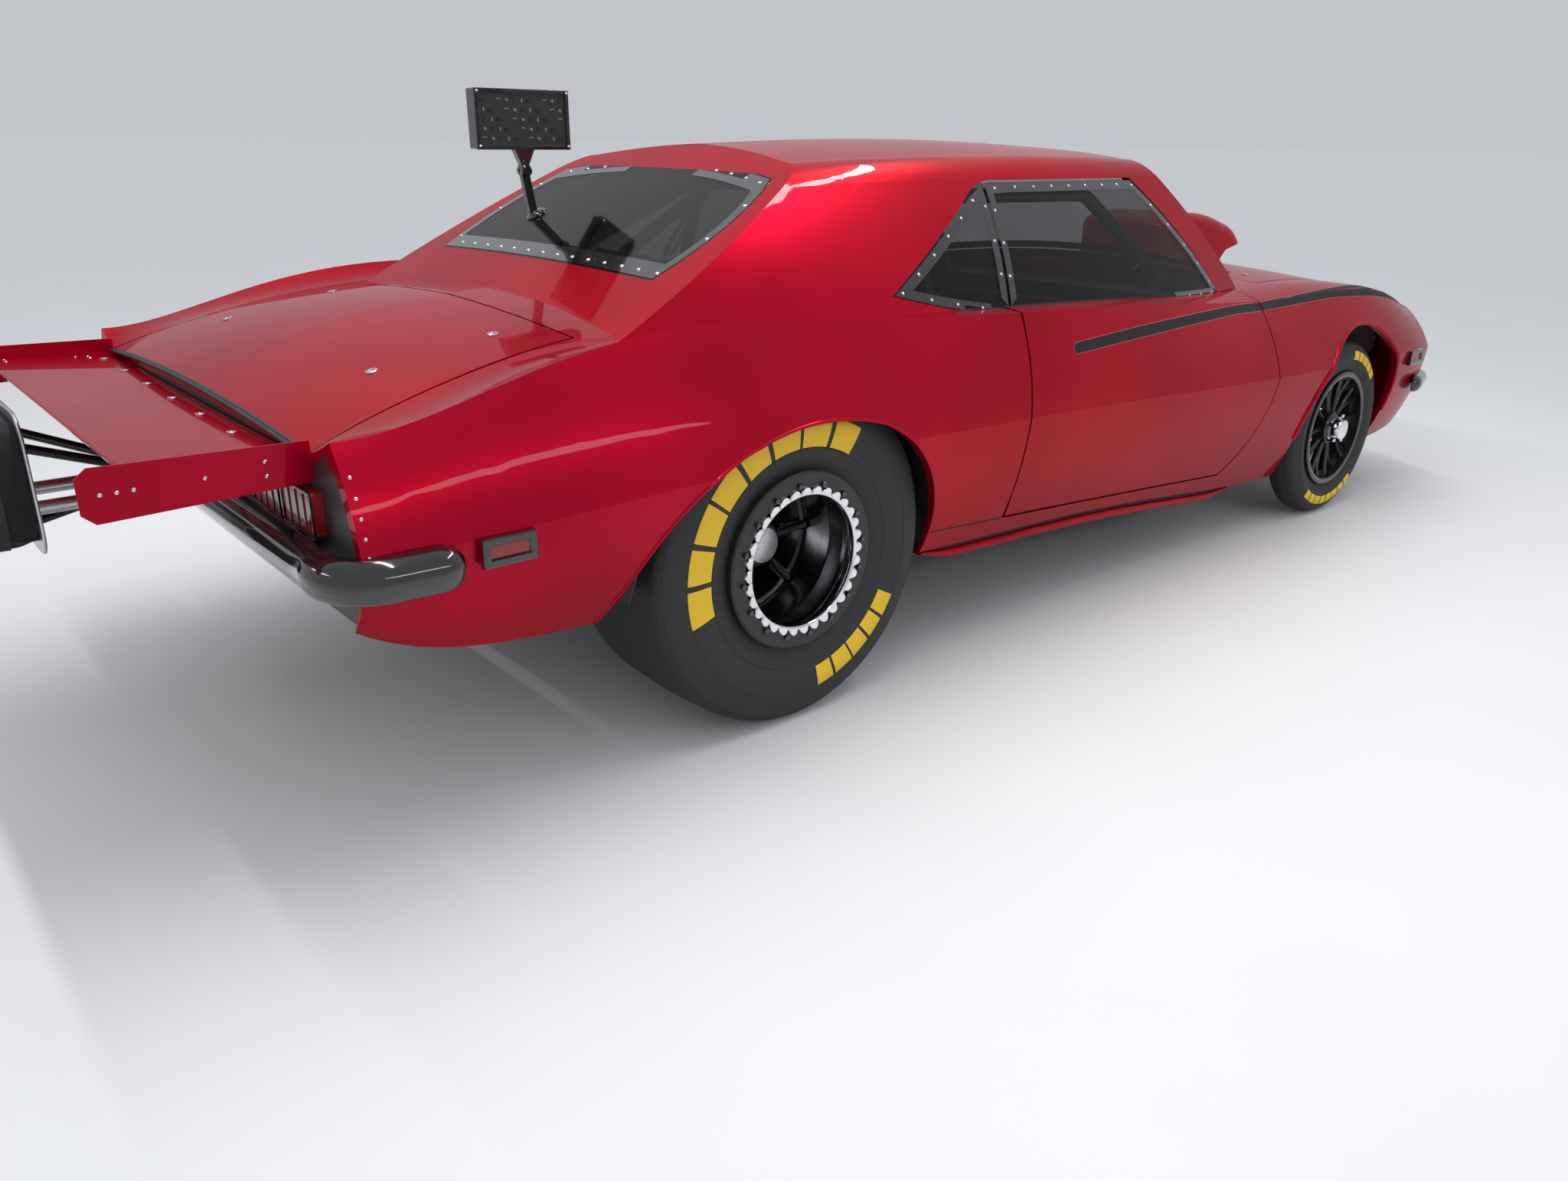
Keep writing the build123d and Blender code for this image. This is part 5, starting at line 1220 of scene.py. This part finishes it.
def set_world():
    """Even light all round, with one pale backdrop for camera, metal and glass."""
    world = bpy.data.worlds.new("studio")
    world.use_nodes = True
    bpy.context.scene.world = world
    tree = world.node_tree
    ambient = tree.nodes["Background"]
    sock(ambient, "Color", (0.92, 0.95, 1.0, 1))
    sock(ambient, "Strength", 0.95)
    backdrop = tree.nodes.new("ShaderNodeBackground")
    sock(backdrop, "Color", (0.535, 0.552, 0.580, 1))
    mix = tree.nodes.new("ShaderNodeMixShader")
    tree.links.new(seen_rays(tree), mix.inputs["Fac"])
    tree.links.new(ambient.outputs[0], mix.inputs[1])
    tree.links.new(backdrop.outputs[0], mix.inputs[2])
    tree.links.new(mix.outputs[0], tree.nodes["World Output"].inputs["Surface"])


# Socket numbers of the colour kind of a mix node
MIX_FIRST = 6
MIX_SECOND = 7
MIX_RESULT = 2


def set_floor():
    """A pale floor that throws less light back onto the car than it shows."""
    data = bpy.data.meshes.new("floor")
    half = 220.0
    corners = [(-half, -half, 0), (half, -half, 0), (half, half, 0), (-half, half, 0)]
    data.from_pydata(corners, [], [(0, 1, 2, 3)])
    mat, tree, bsdf = new_material("floor_pale")
    tex = noise(tree, 1.5, 6.0, 0.5)
    stops = [(0.3, (0.645, 0.648, 0.651)), (0.7, (0.665, 0.668, 0.671))]
    tone = ramp(tree, tex.outputs["Fac"], stops)
    mix = tree.nodes.new("ShaderNodeMix")
    mix.data_type = "RGBA"
    sock(mix, MIX_FIRST, (0.34, 0.34, 0.345, 1))
    tree.links.new(seen_rays(tree), mix.inputs[0])
    tree.links.new(tone.outputs["Color"], mix.inputs[MIX_SECOND])
    tree.links.new(mix.outputs[MIX_RESULT], bsdf.inputs["Base Color"])
    sock(bsdf, "Roughness", 0.55)
    data.materials.append(mat)
    link(bpy.data.objects.new("floor", data))


place_camera()
set_world()
set_floor()
area_lamp("strip_a", (AXLE_X - 0.5, 0.0, 3.6), (AXLE_X + 0.8, 0, 0.8), (4.4, 0.16), 84)
area_lamp("strip_b", (AXLE_X + 2.4, -0.6, 3.8), (AXLE_X + 1.6, -0.2, 0.8), (4.4, 0.16), 56)
area_lamp("side_soft", (AXLE_X + 0.6, -5.4, 2.6), (AXLE_X + 1.0, 0, 0.5), (5.0, 0.22), 22)
area_lamp("rear_soft", (AXLE_X - 4.6, 1.2, 2.8), (AXLE_X, 0, 0.7), (3.0, 0.18), 20)

bpy.context.scene.view_settings.view_transform = "Standard"
